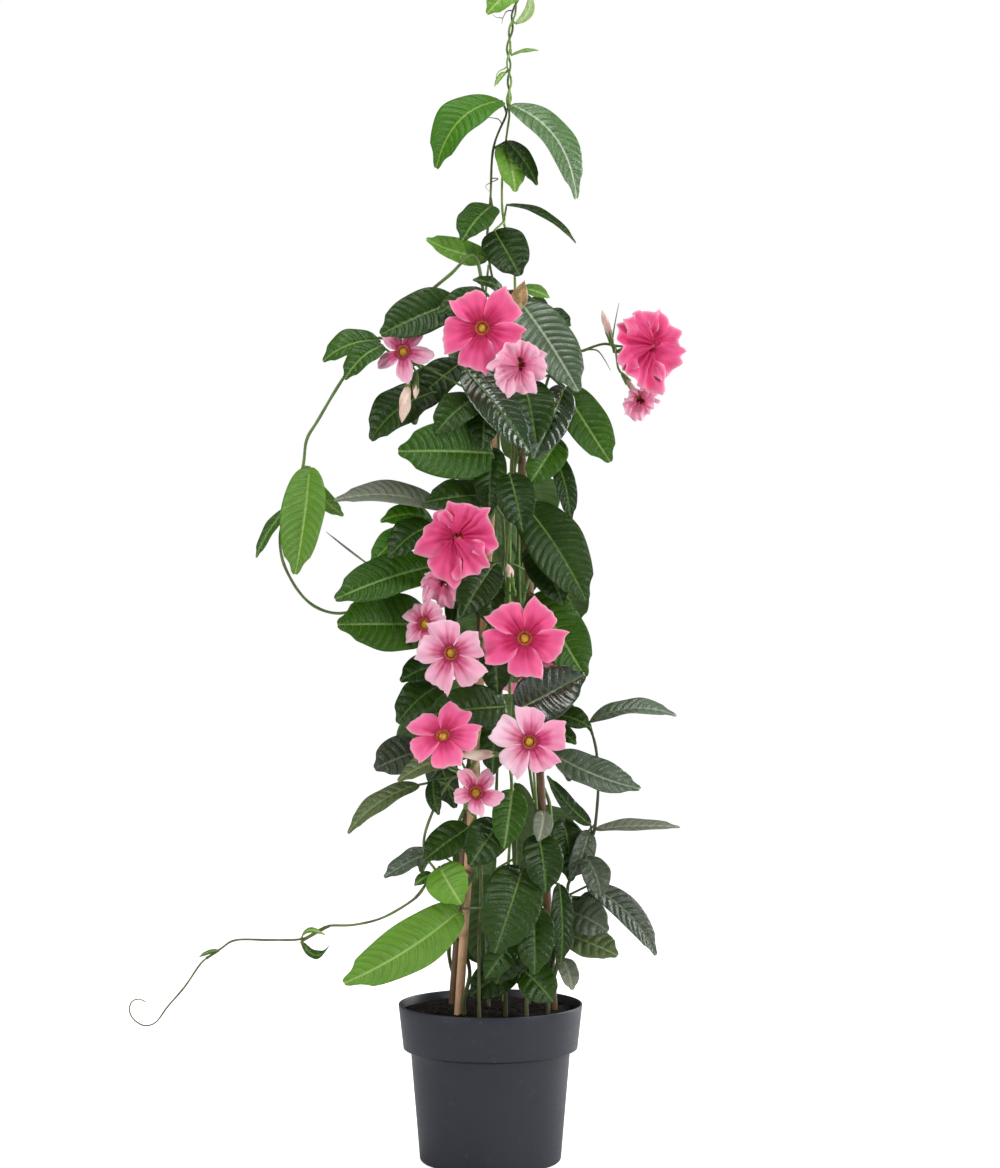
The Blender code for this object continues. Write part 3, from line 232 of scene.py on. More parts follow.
# Leaves seen from the front, as base, tip, width, lift of the middle, how far the face looks up
# in degrees, tone and, for a blade that curves, its bend to the right of the way that it points.
# The tone is the look of the blade, from fresh lime to dark green; the grey, silver and sheen tones are
# greens paled with painted sheen.
LEAVES = {
    "leader_dark": [
        ((12, -8, 1112), (-57, -30, 1040), 54, 22, 32, "vivid", 4),
        ((34, -2, 1236), (-4, -16, 1203), 30, 6, 30, "lime"),
        ((17, -6, 1070), (49, -24, 1023), 22, 6, 10, "dark"),
        ((2, -14, 1002), (-30, -42, 964), 40, 6, 30, "mid"),
        ((-2, -16, 948), (-68, -34, 967), 38, -2, 40, "bright", -4),
        ((38, -2, 1256), (62, -12, 1262), 16, 6, 30, "lime"),
        ((34, -3, 1270), (16, -14, 1292), 14, 3, 30, "lime"),
    ],
    "leader_green": [
        ((20, -4, 1108), (90, -30, 1008), 42, 20, 26, "sheen", -9),
        # This leaf is lime for a painted glow of light shining through it from behind.
        ((14, -4, 1066), (26, -24, 1016), 32, 7, 10, "lime"),
        ((17, 2, 1003), (90, -10, 962), 22, 10, 62, "dark"),
        ((4, -6, 976), (31, -30, 928), 48, 2, 10, "dark"),
        ((27, 0, 1193), (41, -8, 1226), 12, 3, 10, "pale", 6),
        ((22, -2, 1160), (51, -8, 1165), 9, 2, 50, "lime"),
        ((16, 0, 1142), (4, -8, 1127), 6, 5, 30, "lime"),
    ],
    "vine_left": [
        ((-116, -46, 860), (-176, -56, 838), 40, 10, 36, "mid"),
        ((-113, -48, 855), (-153, -72, 819), 32, 8, 25, "mid"),
        ((-34, -60, 902), (-116, -86, 866), 54, 4, 20, "dark"),
        ((-30, -52, 838), (-100, -66, 776), 46, 4, 20, "dark"),
        ((-190, -40, 728), (-205, -54, 614), 54, 6, 0, "bright", -6),
        ((-214, -34, 684), (-246, -38, 632), 16, 5, 20, "mid"),
        ((-199, -38, 722), (-154, -26, 676), 20, 10, 20, "lime"),
        ((-60, -50, 806), (-126, -72, 755), 52, 8, 24, "dark", 5),
        ((-50, -60, 684), (-165, -78, 692), 46, 12, 56, "olive"),
        ((-61, -50, 672), (-116, -64, 670), 30, 10, 35, "vivid"),
        ((-72, -48, 656), (-94, -62, 677), 14, 4, 20, "lime"),
        ((-78, -44, 662), (-126, -58, 624), 32, 8, 20, "vivid"),
        ((-60, -46, 667), (-107, -68, 632), 42, 8, 30, "dark"),
        ((-58, -62, 624), (-164, -96, 588), 56, 6, 30, "mid"),
        ((-62, -66, 562), (-162, -100, 562), 68, 2, 22, "mid"),
        ((-50, -50, 517), (-95, -74, 502), 36, 8, 30, "dark"),
        ((-54, -52, 498), (-98, -78, 458), 42, 8, 20, "dark"),
        ((-70, -52, 430), (-122, -74, 410), 50, 4, 26, "slate"),
        ((-75, -60, 394), (-150, -80, 342), 28, 6, 46, "moss", 6),
        ((-60, -46, 399), (-54, -64, 362), 18, 5, 0, "dark"),
        ((-58, -34, 324), (-112, -48, 296), 30, 4, 46, "grey"),
        ((-16, -8, 606), (-34, -30, 520), 54, 6, 6, "dark"),
        ((-56, -40, 446), (-36, -54, 368), 40, 6, 6, "dark"),
        ((-125, -30, 623), (-173, -34, 660), 2.4, 1, 0, "grey"),
    ],
    "vine_front": [
        ((-4, -70, 910), (-56, -84, 888), 28, 6, 30, "dark"),
        ((14, -50, 912), (-19, -66, 924), 18, 4, 40, "dark"),
        ((-27, -72, 832), (42, -112, 742), 40, 10, 20, "gloss"),
        ((-4, -66, 800), (-8, -92, 746), 36, 8, 10, "dark"),
        ((2, -62, 748), (-2, -86, 676), 34, 8, 8, "dark"),
        ((-2, -62, 628), (2, -86, 556), 34, 8, 8, "dark"),
        ((2, -76, 742), (-98, -112, 744), 62, 6, 12, "mid"),
        ((-2, -70, 698), (-69, -92, 690), 42, 4, 36, "dark"),
        ((4, -84, 626), (-31, -112, 570), 42, 8, 10, "dark"),
        ((17, -86, 476), (-70, -112, 466), 48, 6, 20, "dark"),
        ((27, -88, 472), (100, -110, 510), 54, 2, 18, "gloss"),
        ((-24, -84, 426), (-98, -104, 397), 34, 8, 50, "moss"),
        ((10, -72, 355), (-22, -100, 308), 44, 8, 10, "dark"),
        ((23, -74, 389), (14, -98, 326), 36, 8, 0, "mid"),
        ((-6, -66, 660), (-34, -96, 640), 30, 8, 10, "dark"),
        ((20, -70, 720), (34, -98, 660), 40, 8, 10, "dark"),
        ((-16, -70, 800), (-58, -96, 762), 40, 8, 20, "dark"),
        ((4, -66, 542), (8, -84, 488), 34, 6, 0, "dark"),
        ((6, -64, 464), (2, -80, 404), 30, 8, 10, "dark"),
        ((-14, -64, 470), (-44, -84, 446), 34, 8, 10, "dark"),
    ],
    "vine_right": [
        ((32, -44, 900), (93, -84, 806), 54, 6, 14, "silver"),
        ((31, -30, 914), (62, -46, 905), 18, 4, 30, "bright"),
        ((40, -26, 904), (60, -40, 892), 16, 4, 30, "dark"),
        ((60, -24, 892), (84, -40, 875), 18, 4, 20, "dark"),
        ((76, -48, 811), (126, -70, 732), 50, 0, 10, "mid"),
        ((34, -66, 818), (48, -98, 752), 50, 10, 6, "dark"),
        ((78, -62, 812), (44, -90, 735), 38, 10, 10, "gloss"),
        ((72, -56, 758), (40, -84, 708), 38, 8, 20, "mid"),
        ((65, -40, 744), (84, -54, 670), 24, 10, 10, "dark"),
        ((36, -60, 688), (101, -84, 586), 60, 14, 6, "dark"),
        ((44, -54, 646), (76, -78, 582), 46, 10, 6, "dark"),
        ((44, -60, 594), (100, -80, 506), 58, 4, 8, "mid"),
        ((64, -54, 467), (106, -74, 454), 28, 6, 30, "dark"),
        ((66, -46, 452), (90, -62, 436), 20, 4, 30, "dark"),
        ((76, -36, 358), (84, -54, 292), 38, 6, 6, "dark"),
        ((36, 12, 668), (28, -8, 584), 50, 6, 10, "dark"),
    ],
    "vine_back": [
        ((-8, 20, 716), (-22, -4, 640), 56, 6, 10, "dark"),
        ((-14, 26, 620), (-44, 6, 556), 52, 6, 10, "dark"),
        ((-20, 30, 510), (-40, 8, 440), 50, 6, 10, "dark"),
        ((2, 28, 806), (-26, 6, 748), 44, 6, 10, "dark"),
        ((-2, 34, 706), (6, 12, 604), 60, 6, 10, "dark"),
        ((-12, 28, 880), (-40, 6, 816), 46, 6, 10, "dark"),
        ((-24, 40, 280), (-2, 22, 200), 54, 6, 10, "dark"),
        ((-16, 26, 350), (-10, 6, 262), 50, 6, 10, "dark"),
        ((0, 36, 300), (-4, 18, 196), 56, 6, 10, "dark"),
        ((-8, 32, 600), (-14, 10, 530), 50, 6, 10, "dark"),
    ],
    "vine_back_right": [
        ((32, 36, 580), (22, 14, 500), 56, 6, 10, "dark"),
        ((12, 36, 636), (8, 14, 556), 60, 6, 10, "dark"),
        ((26, 44, 396), (24, 22, 302), 56, 6, 10, "dark"),
        ((22, 44, 290), (22, 24, 196), 56, 6, 10, "dark"),
        ((32, 30, 800), (26, 8, 730), 50, 6, 10, "dark"),
        ((36, 40, 520), (28, 18, 440), 56, 6, 10, "dark"),
        ((44, 40, 350), (40, 18, 262), 54, 6, 10, "dark"),
    ],
    "shoot_low_right": [
        ((104, -48, 460), (196, -66, 466), 34, 13, 58, "grey"),
        ((68, -52, 425), (158, -76, 389), 42, 2, 34, "grey", 6),
        ((110, -48, 347), (200, -60, 349), 26, 3, 64, "olive"),
        ((105, -46, 352), (59, -64, 404), 18, 4, 20, "dark", -6),
        ((103, -48, 346), (83, -62, 295), 26, 8, 10, "slate"),
        ((100, -48, 318), (116, -62, 276), 32, 8, 6, "slate"),
        ((102, -40, 288), (174, -58, 214), 36, 5, 42, "slate", -9),
        ((82, -52, 262), (124, -74, 240), 42, 6, 10, "slate"),
        ((84, -46, 274), (104, -56, 252), 22, 4, 20, "slate"),
        ((94, -44, 276), (118, -56, 268), 18, 4, 30, "slate"),
        ((78, -50, 238), (134, -70, 214), 44, 2, 36, "moss"),
        ((76, -46, 212), (86, -58, 178), 22, 4, 10, "olive"),
    ],
    "shoot_low_front": [
        ((34, -78, 308), (4, -112, 216), 62, 14, 6, "dark"),
        ((50, -76, 342), (58, -98, 280), 42, 8, 4, "dark"),
        ((44, -78, 268), (46, -98, 194), 42, 8, 4, "dark"),
        ((72, -66, 290), (74, -76, 206), 24, 8, 4, "dark"),
        ((36, -74, 198), (66, -86, 166), 40, 6, 14, "dark"),
        ((30, -60, 250), (6, -70, 184), 44, 6, 8, "dark"),
        ((28, -46, 206), (-22, -54, 172), 40, 6, 20, "dark"),
        ((44, -40, 236), (40, -40, 176), 50, 4, 10, "dark"),
        ((56, -72, 366), (50, -88, 334), 22, 5, 4, "olive"),
        ((24, -76, 232), (-6, -88, 190), 30, 8, 10, "dark"),
    ],
    "shoot_low_left": [
        ((-30, -92, 264), (-155, -134, 185), 55, 0, 18, "bright", -6),
        ((-54, -82, 308), (-30, -104, 268), 44, 8, 20, "lime"),
        ((-22, -80, 350), (-70, -100, 314), 40, 2, 36, "dark"),
        ((-60, -80, 300), (-80, -88, 288), 14, 3, 30, "mid"),
        ((-199, -89, 232), (-173, -98, 236), 8, 10, 50, "bright"),
        ((-199, -90, 229), (-169, -96, 226), 14, -16, 60, "mid"),
        ((-285, -79, 220), (-306, -84, 213), 6, 2, 40, "mid"),
    ],
}

# Vines whose back is leafed by a rule, with the heights of the lowest and highest leaf, the
# number of leaves and their sector, in degrees from the front round the left
BACK_LEAVES = {
    "vine_back": (250, 840, 6, (165, 240)),
    "vine_back_right": (230, 840, 6, (120, 190)),
    "vine_left": (330, 780, 2, (125, 145)),
    "vine_right": (430, 800, 2, (235, 255)),
}

# Leaves at the back: their turn from one to the next as a share of the sector, then, in shares
# of the reach, where they start and the least and spread of their length, width and droop, and
# last how they lift, face up, bend and look
BACK_TURN = 0.618
BACK_START = 0.40
BACK_LENGTH = (0.44, 0.08)
BACK_WIDTH = (0.48, 0.06)
BACK_DROOP = (0.35, 0.45)
BACK_LIFT = 0.012
BACK_RISE = 45
BACK_BEND = 0.008
BACK_TONES = ("dark", "mid", "dark", "grey")

# How far the leaf tips reach from the middle, by height
REACH = ((150, 95), (300, 100), (450, 110), (650, 112), (780, 104), (860, 88), (960, 55))

# Flowers, as vine, middle of the face, where the face looks (degrees right of the front, degrees
# up), radius, how wide the lobes open in degrees from the axis, sag, turn and colour
BLOOMS = {
    "bloom_crown": ("vine_front", (-9, -118, 874), (-10, 8), 44, 88, 0, 10, "hot pink"),
    "bloom_crown_faded": ("vine_front", (28, -124, 836), (20, -18), 31, 74, 7, 40, "pale pink"),
    "bloom_shoulder": ("vine_left", (-92, -84, 849), (-16, 14), 31, 96, 0, 25, "pale pink"),
    "bloom_side": ("vine_right", (164, -60, 854), (38, 4), 45, 80, 3, 0, "hot pink"),
    "bloom_side_faded": ("vine_right", (156, -38, 800), (24, -34), 22, 60, 5, 15, "pale pink"),
    "bloom_middle_left": ("vine_left", (-32, -126, 652), (-28, 10), 44, 82, 5, 55, "hot pink"),
    "bloom_faded_left": ("vine_left", (-50, -96, 610), (-14, -36), 26, 56, 7, 5, "pale pink"),
    "bloom_pale_left": ("vine_left", (-70, -96, 563), (-34, 8), 27, 86, 2, 30, "pale pink"),
    "bloom_pink_left": ("vine_left", (-42, -136, 532), (-16, -6), 38, 84, 4, 62, "pale pink"),
    "bloom_heart": ("vine_front", (36, -138, 548), (4, 6), 43, 90, 0, 18, "hot pink"),
    "bloom_low_left": ("vine_left", (-50, -144, 446), (-8, 40), 39, 84, 2, 34, "hot pink"),
    "bloom_low_right": ("vine_front", (41, -138, 439), (6, -2), 38, 90, 0, 50, "pale pink"),
    "bloom_small": ("shoot_low_left", (-15, -120, 386), (14, 20), 27, 72, 0, 12, "pale pink"),
    "bloom_back_high": ("vine_back", (-30, 118, 760), (200, 10), 42, 88, 0, 20, "hot pink"),
    "bloom_back_low": ("vine_back_right", (44, 128, 520), (160, 6), 42, 88, 0, 44, "hot pink"),
}

# Buds, as vine, base, tip, radius and colour
BUDS = {
    "bud_shoulder": ("vine_left", (-87, -82, 812), (-93, -88, 774), 6.2, "cream"),
    "bud_shoulder_small": ("vine_left", (-78, -80, 817), (-79, -84, 799), 3.4, "cream"),
    "bud_middle": ("vine_front", (4, -112, 426), (-33, -126, 425), 5.6, "cream"),
    "bud_side": ("vine_right", (126, -52, 862), (117, -58, 893), 3.8, "cream"),
    "bud_withered": ("vine_front", (26, -86, 892), (36, -92, 924), 7.0, "withered"),
    "bud_heart": ("vine_front", (22, -100, 610), (18, -108, 626), 4.0, "cream"),
}


def linear(code):
    """A shader colour from a screen colour such as 5d8a1f."""
    channels = []
    for start in (0, 2, 4):
        value = int(code[start : start + 2], 16) / 255
        channels.append(value / 12.92 if value <= 0.04045 else ((value + 0.055) / 1.055) ** 2.4)
    return (*channels, 1)


class Value:
    """One output of a node, so that the sums of a material read as plain maths."""

    def __init__(self, graph, socket):
        self.graph = graph
        self.socket = socket

    def __add__(self, other):
        return self.graph.maths("ADD", self, other)

    def __sub__(self, other):
        return self.graph.maths("SUBTRACT", self, other)

    def __rsub__(self, other):
        return self.graph.maths("SUBTRACT", other, self)

    def __mul__(self, other):
        return self.graph.maths("MULTIPLY", self, other)

    def __truediv__(self, other):
        return self.graph.maths("DIVIDE", self, other)

    def __pow__(self, other):
        return self.graph.maths("POWER", self, other)

    def __abs__(self):
        return self.graph.maths("ABSOLUTE", self)

    def at_least(self, other):
        return self.graph.maths("MAXIMUM", self, other)

    def clamped(self):
        """The same sum, kept between 0 and 1."""
        self.socket.node.use_clamp = True
        return self


class Graph:
    """The nodes of one material, made and joined one at a time."""

    def __init__(self, name, **settings):
        self.material = bpy.data.materials.new(name)
        self.material.use_nodes = True
        self.tree = self.material.node_tree
        self.shader = self.tree.nodes["Principled BSDF"]
        for socket, value in settings.items():
            self.shader.inputs[socket.replace("_", " ")].default_value = value

    def join(self, value, socket):
        if isinstance(value, Value):
            self.tree.links.new(value.socket, socket)
        else:
            socket.default_value = value

    def add(self, kind, inputs=None, output=0, **settings):
        """A node, its sockets given values or joined by name or number; returns one output."""
        node = self.tree.nodes.new("ShaderNode" + kind)
        for setting, value in settings.items():
            setattr(node, setting, value)
        for place, value in (inputs or {}).items():
            self.join(value, node.inputs[place])
        return Value(self, node.outputs[output])

    def maths(self, operation, *values):
        return self.add("Math", dict(enumerate(values)), operation=operation)

    def mix(self, share, first, second):
        return self.add("Mix", {0: share, 6: first, 7: second}, output=2, data_type="RGBA")

    def ramp(self, share, *stops):
        """A smooth run of (place, value) stops, each value a colour or a number."""
        run = self.add("ValToRGB", {0: share})
        elements = run.socket.node.color_ramp.elements
        run.socket.node.color_ramp.interpolation = "EASE"
        while len(elements) < len(stops):
            elements.new(0.5)
        for element, (place, value) in zip(elements, stops):
            element.position = place
            element.color = value if isinstance(value, tuple) else (value, value, value, 1)
        return run

    def noise(self, vector, scale, detail=2.0, roughness=0.5, distortion=0.0):
        inputs = {"Vector": vector, "Scale": scale, "Detail": detail, "Roughness": roughness}
        return self.add("TexNoise", {**inputs, "Distortion": distortion})

    def net(self, vector):
        """Distance from the nearest line of a fine net."""
        inputs = {"Vector": vector, "Scale": NET_SCALE}
        return self.add("TexVoronoi", inputs, feature="DISTANCE_TO_EDGE")

    def stretched(self, vector, scale):
        return self.add("Mapping", {"Vector": vector, "Scale": scale})

    def place(self):
        """Where a point is on the object, in metres."""
        return self.add("TexCoord", output=3)

    def uv(self, name):
        return self.add("UVMap", uv_map=name)

    def tone(self):
        return self.split(self.add("Attribute", output=1, attribute_name="Tone"))[0]

    def split(self, vector):
        first = self.add("SeparateXYZ", {0: vector})
        return [Value(self, output) for output in first.socket.node.outputs]

    def finish(self, colour, roughness, relief, depth, strength):
        """Joins colour, roughness and relief to the shader; returns the material."""
        bump = self.add("Bump", {"Strength": strength, "Distance": depth, "Height": relief})
        for socket, value in (("Base Color", colour), ("Roughness", roughness), ("Normal", bump)):
            self.join(value, self.shader.inputs[socket])
        return self.material


# How fine the net between a blade's veins is, and how sharply it and the midrib stand out
NET_SCALE = 17.0
NET_SHARPNESS = 3.0
MIDRIB_SHARPNESS = 26.0


def side_veins(graph, width, fading):
    """Nearness to the middle between two side veins, place across the blade, and the veins."""
    phase, across, _ = graph.split(graph.uv("Veins"))
    near = abs(graph.maths("FRACT", phase) - 0.5)
    vein = (1.0 - (0.5 - near) / width).at_least(0.0)
    return near, across, (vein * (1.0 - across * fading)).clamped()


def leaf_material(name, light, dark, vein, roughness, gloss):
    """Top of a blade: mottled green, with a pale midrib, side veins and a fine net between them."""
    coat = 0.7 if gloss >= 1 else 0.0
    graph = Graph(name, Specular_IOR_Level=gloss, Coat_Weight=coat, Coat_Roughness=0.12)
    near, across, side_vein = side_veins(graph, 0.10, 0.85)
    span = graph.uv("Span")
    off_middle = graph.split(span)[1]
    midrib = (1.0 - abs(off_middle) * MIDRIB_SHARPNESS).at_least(0.0)
    spread = graph.noise(span, 2.2, 3.0) * 0.8 + graph.tone()
    ground = graph.mix((spread - 0.40).clamped(), dark, light)
    ground = graph.mix(across**9.0 * 0.35, ground, light)
    # Darker beside the side veins: painted shade in the grooves, which the relief below also sinks.
    groove = ((near - 0.22).clamped() * 3.6).clamped()
    ground = graph.mix(groove * 0.60, ground, dark)
    colour = graph.mix((side_vein * 0.50).at_least(midrib).clamped(), ground, vein)
    net = (graph.net(span) * NET_SHARPNESS).clamped()
    relief = net * 0.6 + graph.noise(span, 30.0, 3.0) - groove * 1.2
    sheen = graph.noise(span, 5.0, 2.0) * 0.22 + (roughness - 0.11)
    return graph.finish(colour, sheen, relief, 0.00045, 0.5 if gloss > 0.7 else 0.8)


def underside_material(name, colour, vein):
    """Underside of a blade: paler and dull, with the veins standing out."""
    graph = Graph(name, Specular_IOR_Level=0.3)
    _, _, side_vein = side_veins(graph, 0.12, 0.7)
    span = graph.uv("Span")
    ground = graph.mix(graph.noise(span, 3.0, 3.0) * 0.5, colour, vein)
    net = (graph.net(span) * NET_SHARPNESS).clamped()
    relief = 1.0 - net + side_vein * 2.0
    return graph.finish(graph.mix(side_vein * 0.5, ground, vein), 0.62, relief, 0.0003, 0.6)


def stem_material(name, green, brown, share):
    """A young stem that turns to bark in patches and near the soil, with fine pale specks in its colour and
    relief.
    """
    graph = Graph(name, Specular_IOR_Level=0.45)
    place = graph.place()
    patches = graph.noise(place, 45.0, 4.0, 0.6)
    bark = graph.ramp(patches + (share - 0.5), (0.40, 0.0), (0.62, 1.0))
    height = graph.split(place)[2]
    woody = ((WOODY_TOP - height) * 9.0).clamped()
    bark = bark.at_least(woody * 0.85)
    specks = graph.noise(place, 900.0, 2.0)
    colour = graph.mix(specks * 0.35, graph.mix(bark, green, brown), linear("8c9a5a"))
    return graph.finish(colour, bark * 0.25 + 0.38, specks + patches, 0.0003, 0.6)


def petal_material(name, deep, middle, edge, throat, eye):
    """Petal: coloured from the throat out, with fine rays and a pale thin edge."""
    graph = Graph(name, Specular_IOR_Level=0.25, Subsurface_Weight=0.15, Subsurface_Scale=0.002)
    along, across, _ = graph.split(graph.uv("Petal"))
    span = graph.uv("Span")
    rays = graph.noise(graph.stretched(graph.uv("Petal"), (1.2, 34.0, 1.0)), 1.4, 3.0, 0.6, 0.3)
    run = graph.ramp(
        along,
        (0.0, linear("8d9a3c")),
        (0.22, throat),
        (0.31, throat),
        (0.345, eye),
        (0.40, eye),
        (0.47, deep),
        (0.54, deep),
        (0.74, middle),
    )
    away = ((along - 0.36).clamped() * 1.4).clamped()
    # Paler outwards in patches and by the tone, which also carries the painted light and shade across each
    # lobe.
    lighter = ((graph.noise(span, 3.0, 3.0) * 0.40 + graph.tone()) * away).clamped()
    run = graph.mix(lighter, run, edge)
    inked = ((rays - 0.45).clamped() * 1.1).clamped()
    run = graph.mix(inked * graph.ramp(along, (0.3, 0.55), (1.0, 0.20)), run, deep)
    side = abs(across * 2.0 - 1.0)
    outer = ((along - 0.66).clamped() * 4.0).clamped()
    margin = ((side**14.0).at_least(along**22.0) * outer).clamped()
    run = graph.mix(margin * 0.55, run, linear("fbd3df"))
    return graph.finish(run, 0.52, rays + graph.noise(span, 9.0, 2.0), 0.0007, 0.7)


def pot_material():
    """Moulded slate-grey plastic: a soft satin skin with faint swirls and dust."""
    graph = Graph("pot_plastic", Specular_IOR_Level=0.55)
    place = graph.place()
    drag = graph.noise(graph.stretched(place, (1.0, 1.0, 14.0)), 26.0, 3.0, 0.6)
    clouds = graph.noise(place, 22.0, 4.0, 0.6)
    colour = graph.mix(clouds * 0.6, linear("191c28"), linear("262a38"))
    dust = graph.ramp(graph.noise(place, 90.0, 6.0, 0.7), (0.60, 0.0), (0.80, 1.0))
    colour = graph.mix(dust * 0.25, colour, linear("77767a"))
    relief = graph.noise(place, 1600.0, 2.0) * 0.5 + drag
    return graph.finish(colour, drag * 0.16 + 0.34, relief, 0.00018, 0.5)


def soil_material():
    """Damp peat: nearly black, with reddish fibres and a few pale grains."""
    graph = Graph("potting_soil", Specular_IOR_Level=0.2)
    place = graph.place()
    crumbs = graph.noise(place, 260.0, 6.0, 0.7)
    shades = ((0.30, "070504"), (0.50, "130d0a"), (0.62, "28190f"), (0.75, "4a3020"))
    colour = graph.ramp(crumbs, *((stop, linear(code)) for stop, code in shades))
    grains = graph.ramp(graph.noise(place, 520.0, 1.0), (0.72, 0.0), (0.76, 1.0))
    colour = graph.mix(grains, colour, linear("8a7460"))
    return graph.finish(colour, 0.93, crumbs, 0.0025, 1.0)


def cane_material(name, pale, tan, streak):
    """Bamboo: long fibres, a waxy skin and darker rings at the knots."""
    graph = Graph(name, Specular_IOR_Level=0.45)
    along = graph.split(graph.uv("Cane"))[0]
    fibres = graph.noise(graph.stretched(graph.uv("Cane"), (1.0, 16.0, 1.0)), 6.0, 4.0, 0.65)
    colour = graph.mix(graph.ramp(fibres, (0.35, 0.0), (0.65, 1.0)), tan, pale)
    stains = graph.ramp(graph.noise(graph.place(), 35.0, 4.0), (0.50, 0.0), (0.68, 1.0))
    colour = graph.mix(stains * 0.45, colour, streak)
    knot = (1.0 - abs(graph.maths("FRACT", along) - 0.5) * 26.0).clamped()
    colour = graph.mix(knot * 0.6, colour, streak)
    return graph.finish(colour, 0.44, fibres, 0.0004, 0.5)


def plain_material(name, first, second, scale, roughness, depth):
    """Two mottled colours with a fine relief."""
    graph = Graph(name, Specular_IOR_Level=0.35)
    place = graph.place()
    patches = graph.ramp(graph.noise(place, scale, 4.0, 0.6), (0.35, 0.0), (0.65, 1.0))
    colour = graph.mix(patches, first, second)
    return graph.finish(colour, roughness, graph.noise(place, scale * 5, 3.0), depth, 0.7)


def around(across, above, angle):
    """The direction at an angle from one direction towards another."""
    return across * math.cos(angle) + above * math.sin(angle)


def level(angle):
    """The level direction at an angle from the right."""
    return Vector((math.cos(angle), math.sin(angle), 0))


def seen(place):
    """The point that a row's (x, depth, z) stands for."""
    on_plane = Vector((place[0] * MM, 0, place[2] * MM))
    share = (place[1] * MM - VIEWER.y) / (0 - VIEWER.y)
    return VIEWER + (on_plane - VIEWER) * share


def sight_line(place):
    """How a point moves when its depth grows by one metre."""
    on_plane = Vector((place[0] * MM, 0, place[2] * MM))
    return (on_plane - VIEWER) / (0 - VIEWER.y)


def smooth_route(points, spacing):
    """Points along a smooth curve through the given ones."""
    route = []
    last = len(points) - 1
    for index in range(last):
        before = points[max(index - 1, 0)]
        here = points[index]
        after = points[index + 1]
        beyond = points[min(index + 2, last)]
        steps = max(1, round((after - here).length / spacing))
        for step in range(steps):
            t = step / steps
            bend = (after - before) * t
            bend += (before * 2 - here * 5 + after * 4 - beyond) * t**2
            bend += (here * 3 - before - after * 3 + beyond) * t**3
            route.append(here + bend / 2)
    route.append(points[last])
    return route


def cane_line(name):
    """Foot in the soil and top of a cane's middle line."""
    foot = Vector((*CANE_FEET[name], SOIL_TOP))
    meeting = APEX + level(math.radians(CANE_TURNS[name])) * APEX_SPREAD
    slope = (meeting - foot) / (meeting.z - foot.z)
    return foot - slope * CANE_HOLE_DEPTH, foot + slope * (CANE_TOP - SOIL_TOP)


def cane_point(name, height):
    low, high = cane_line(name)
    return low.lerp(high, (height * MM - low.z) / (high.z - low.z))


def twine(name, lowest, highest, start, turns):
    """Points of a stem that winds up a cane."""
    count = round(turns * TWINE_POINTS)
    points = []
    for index in range(count + 1):
        share = index / count
        way = level(math.radians(start) + 2 * math.pi * turns * share)
        points.append(cane_point(name, lowest + (highest - lowest) * share) + way * TWINE_REACH * MM)
    return points


def twist(start):
    """Points of one leader as it winds round the line that it shares with the other."""
    line = smooth_route([seen(place) for place in TWIST_LINE], TWIST_PITCH * MM / TWIST_POINTS)
    points = []
    for middle in line:
        angle = math.radians(start) + 2 * math.pi * middle.z / (TWIST_PITCH * MM)
        points.append(middle + level(angle) * TWIST_REACH * MM)
    return points


def vine_route(name, spacing):
    """The stem's middle line, straight down through the soil's top at its foot."""
    points = []
    for place in VINES[name][2]:
        if place[0] == "twist":
            points += twist(place[1])
        elif isinstance(place[0], str):
            points += twine(*place)
        else:
            points.append(seen(place))
    foot = points[0]
    low = Vector((foot.x, foot.y, SOIL_TOP - STEM_HOLE_DEPTH + GAP))
    top = Vector((foot.x, foot.y, SOIL_TOP + 0.006))
    return [low] + smooth_route([top] + points, spacing)


def put(name, data):
    """A new object in the scene."""
    made = bpy.data.objects.new(name, data)
    bpy.context.scene.collection.objects.link(made)
    return made


class Form:
    """Points and faces of one piece, gathered from many closed bodies."""

    def __init__(self):
        self.points = []
        self.faces = []
        self.slots = []
        self.maps = {}
        self.tones = []

    def start(self):
        return len(self.points)

    def point(self, place, tone=0.5, **maps):
        """Adds a point, with its tone and its place on each named map."""
        index = len(self.points)
        self.points.append(place)
        self.tones.append(tone)
        for name, value in maps.items():
            self.maps.setdefault(name, {})[index] = value
        return index

    def face(self, corners, slot=0):
        self.faces.append(tuple(corners))
        self.slots.append(slot)

    def bridge(self, low, high, sides, slot=0):
        """Faces between two rings of points."""
        for side in range(sides):
            beside = (side + 1) % sides
            self.face((low + side, low + beside, high + beside, high + side), slot)

    def caps(self, first, last, sides, slots=(0, 0)):
        """One face under the first ring and one over the last."""
        self.face([first + side for side in reversed(range(sides))], slots[0])
        self.face([last + side for side in range(sides)], slots[1])

    def make(self, name, materials, finish, node):
        """One object that rides on the pot's body and stands for the node."""
        mesh = bpy.data.meshes.new(name)
        mesh.from_pydata(self.points, [], self.faces)
        for material in materials:
            mesh.materials.append(material)
        mesh.polygons.foreach_set("material_index", self.slots)
        corners = [0] * len(mesh.loops)
        mesh.loops.foreach_get("vertex_index", corners)
        for label, values in self.maps.items():
            flat = []
            for corner in corners:
                flat.extend(values.get(corner, (0.0, 0.0)))
            mesh.uv_layers.new(name=label).uv.foreach_set("vector", flat)
        shades = []
        for tone in self.tones:
            shades.extend((tone, tone, tone, 1.0))
        mesh.attributes.new("Tone", "FLOAT_COLOR", "POINT").data.foreach_set("color", shades)
        mesh.shade_smooth()
        made = put(name, mesh)
        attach(made, "root")
        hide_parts(node)
        return made


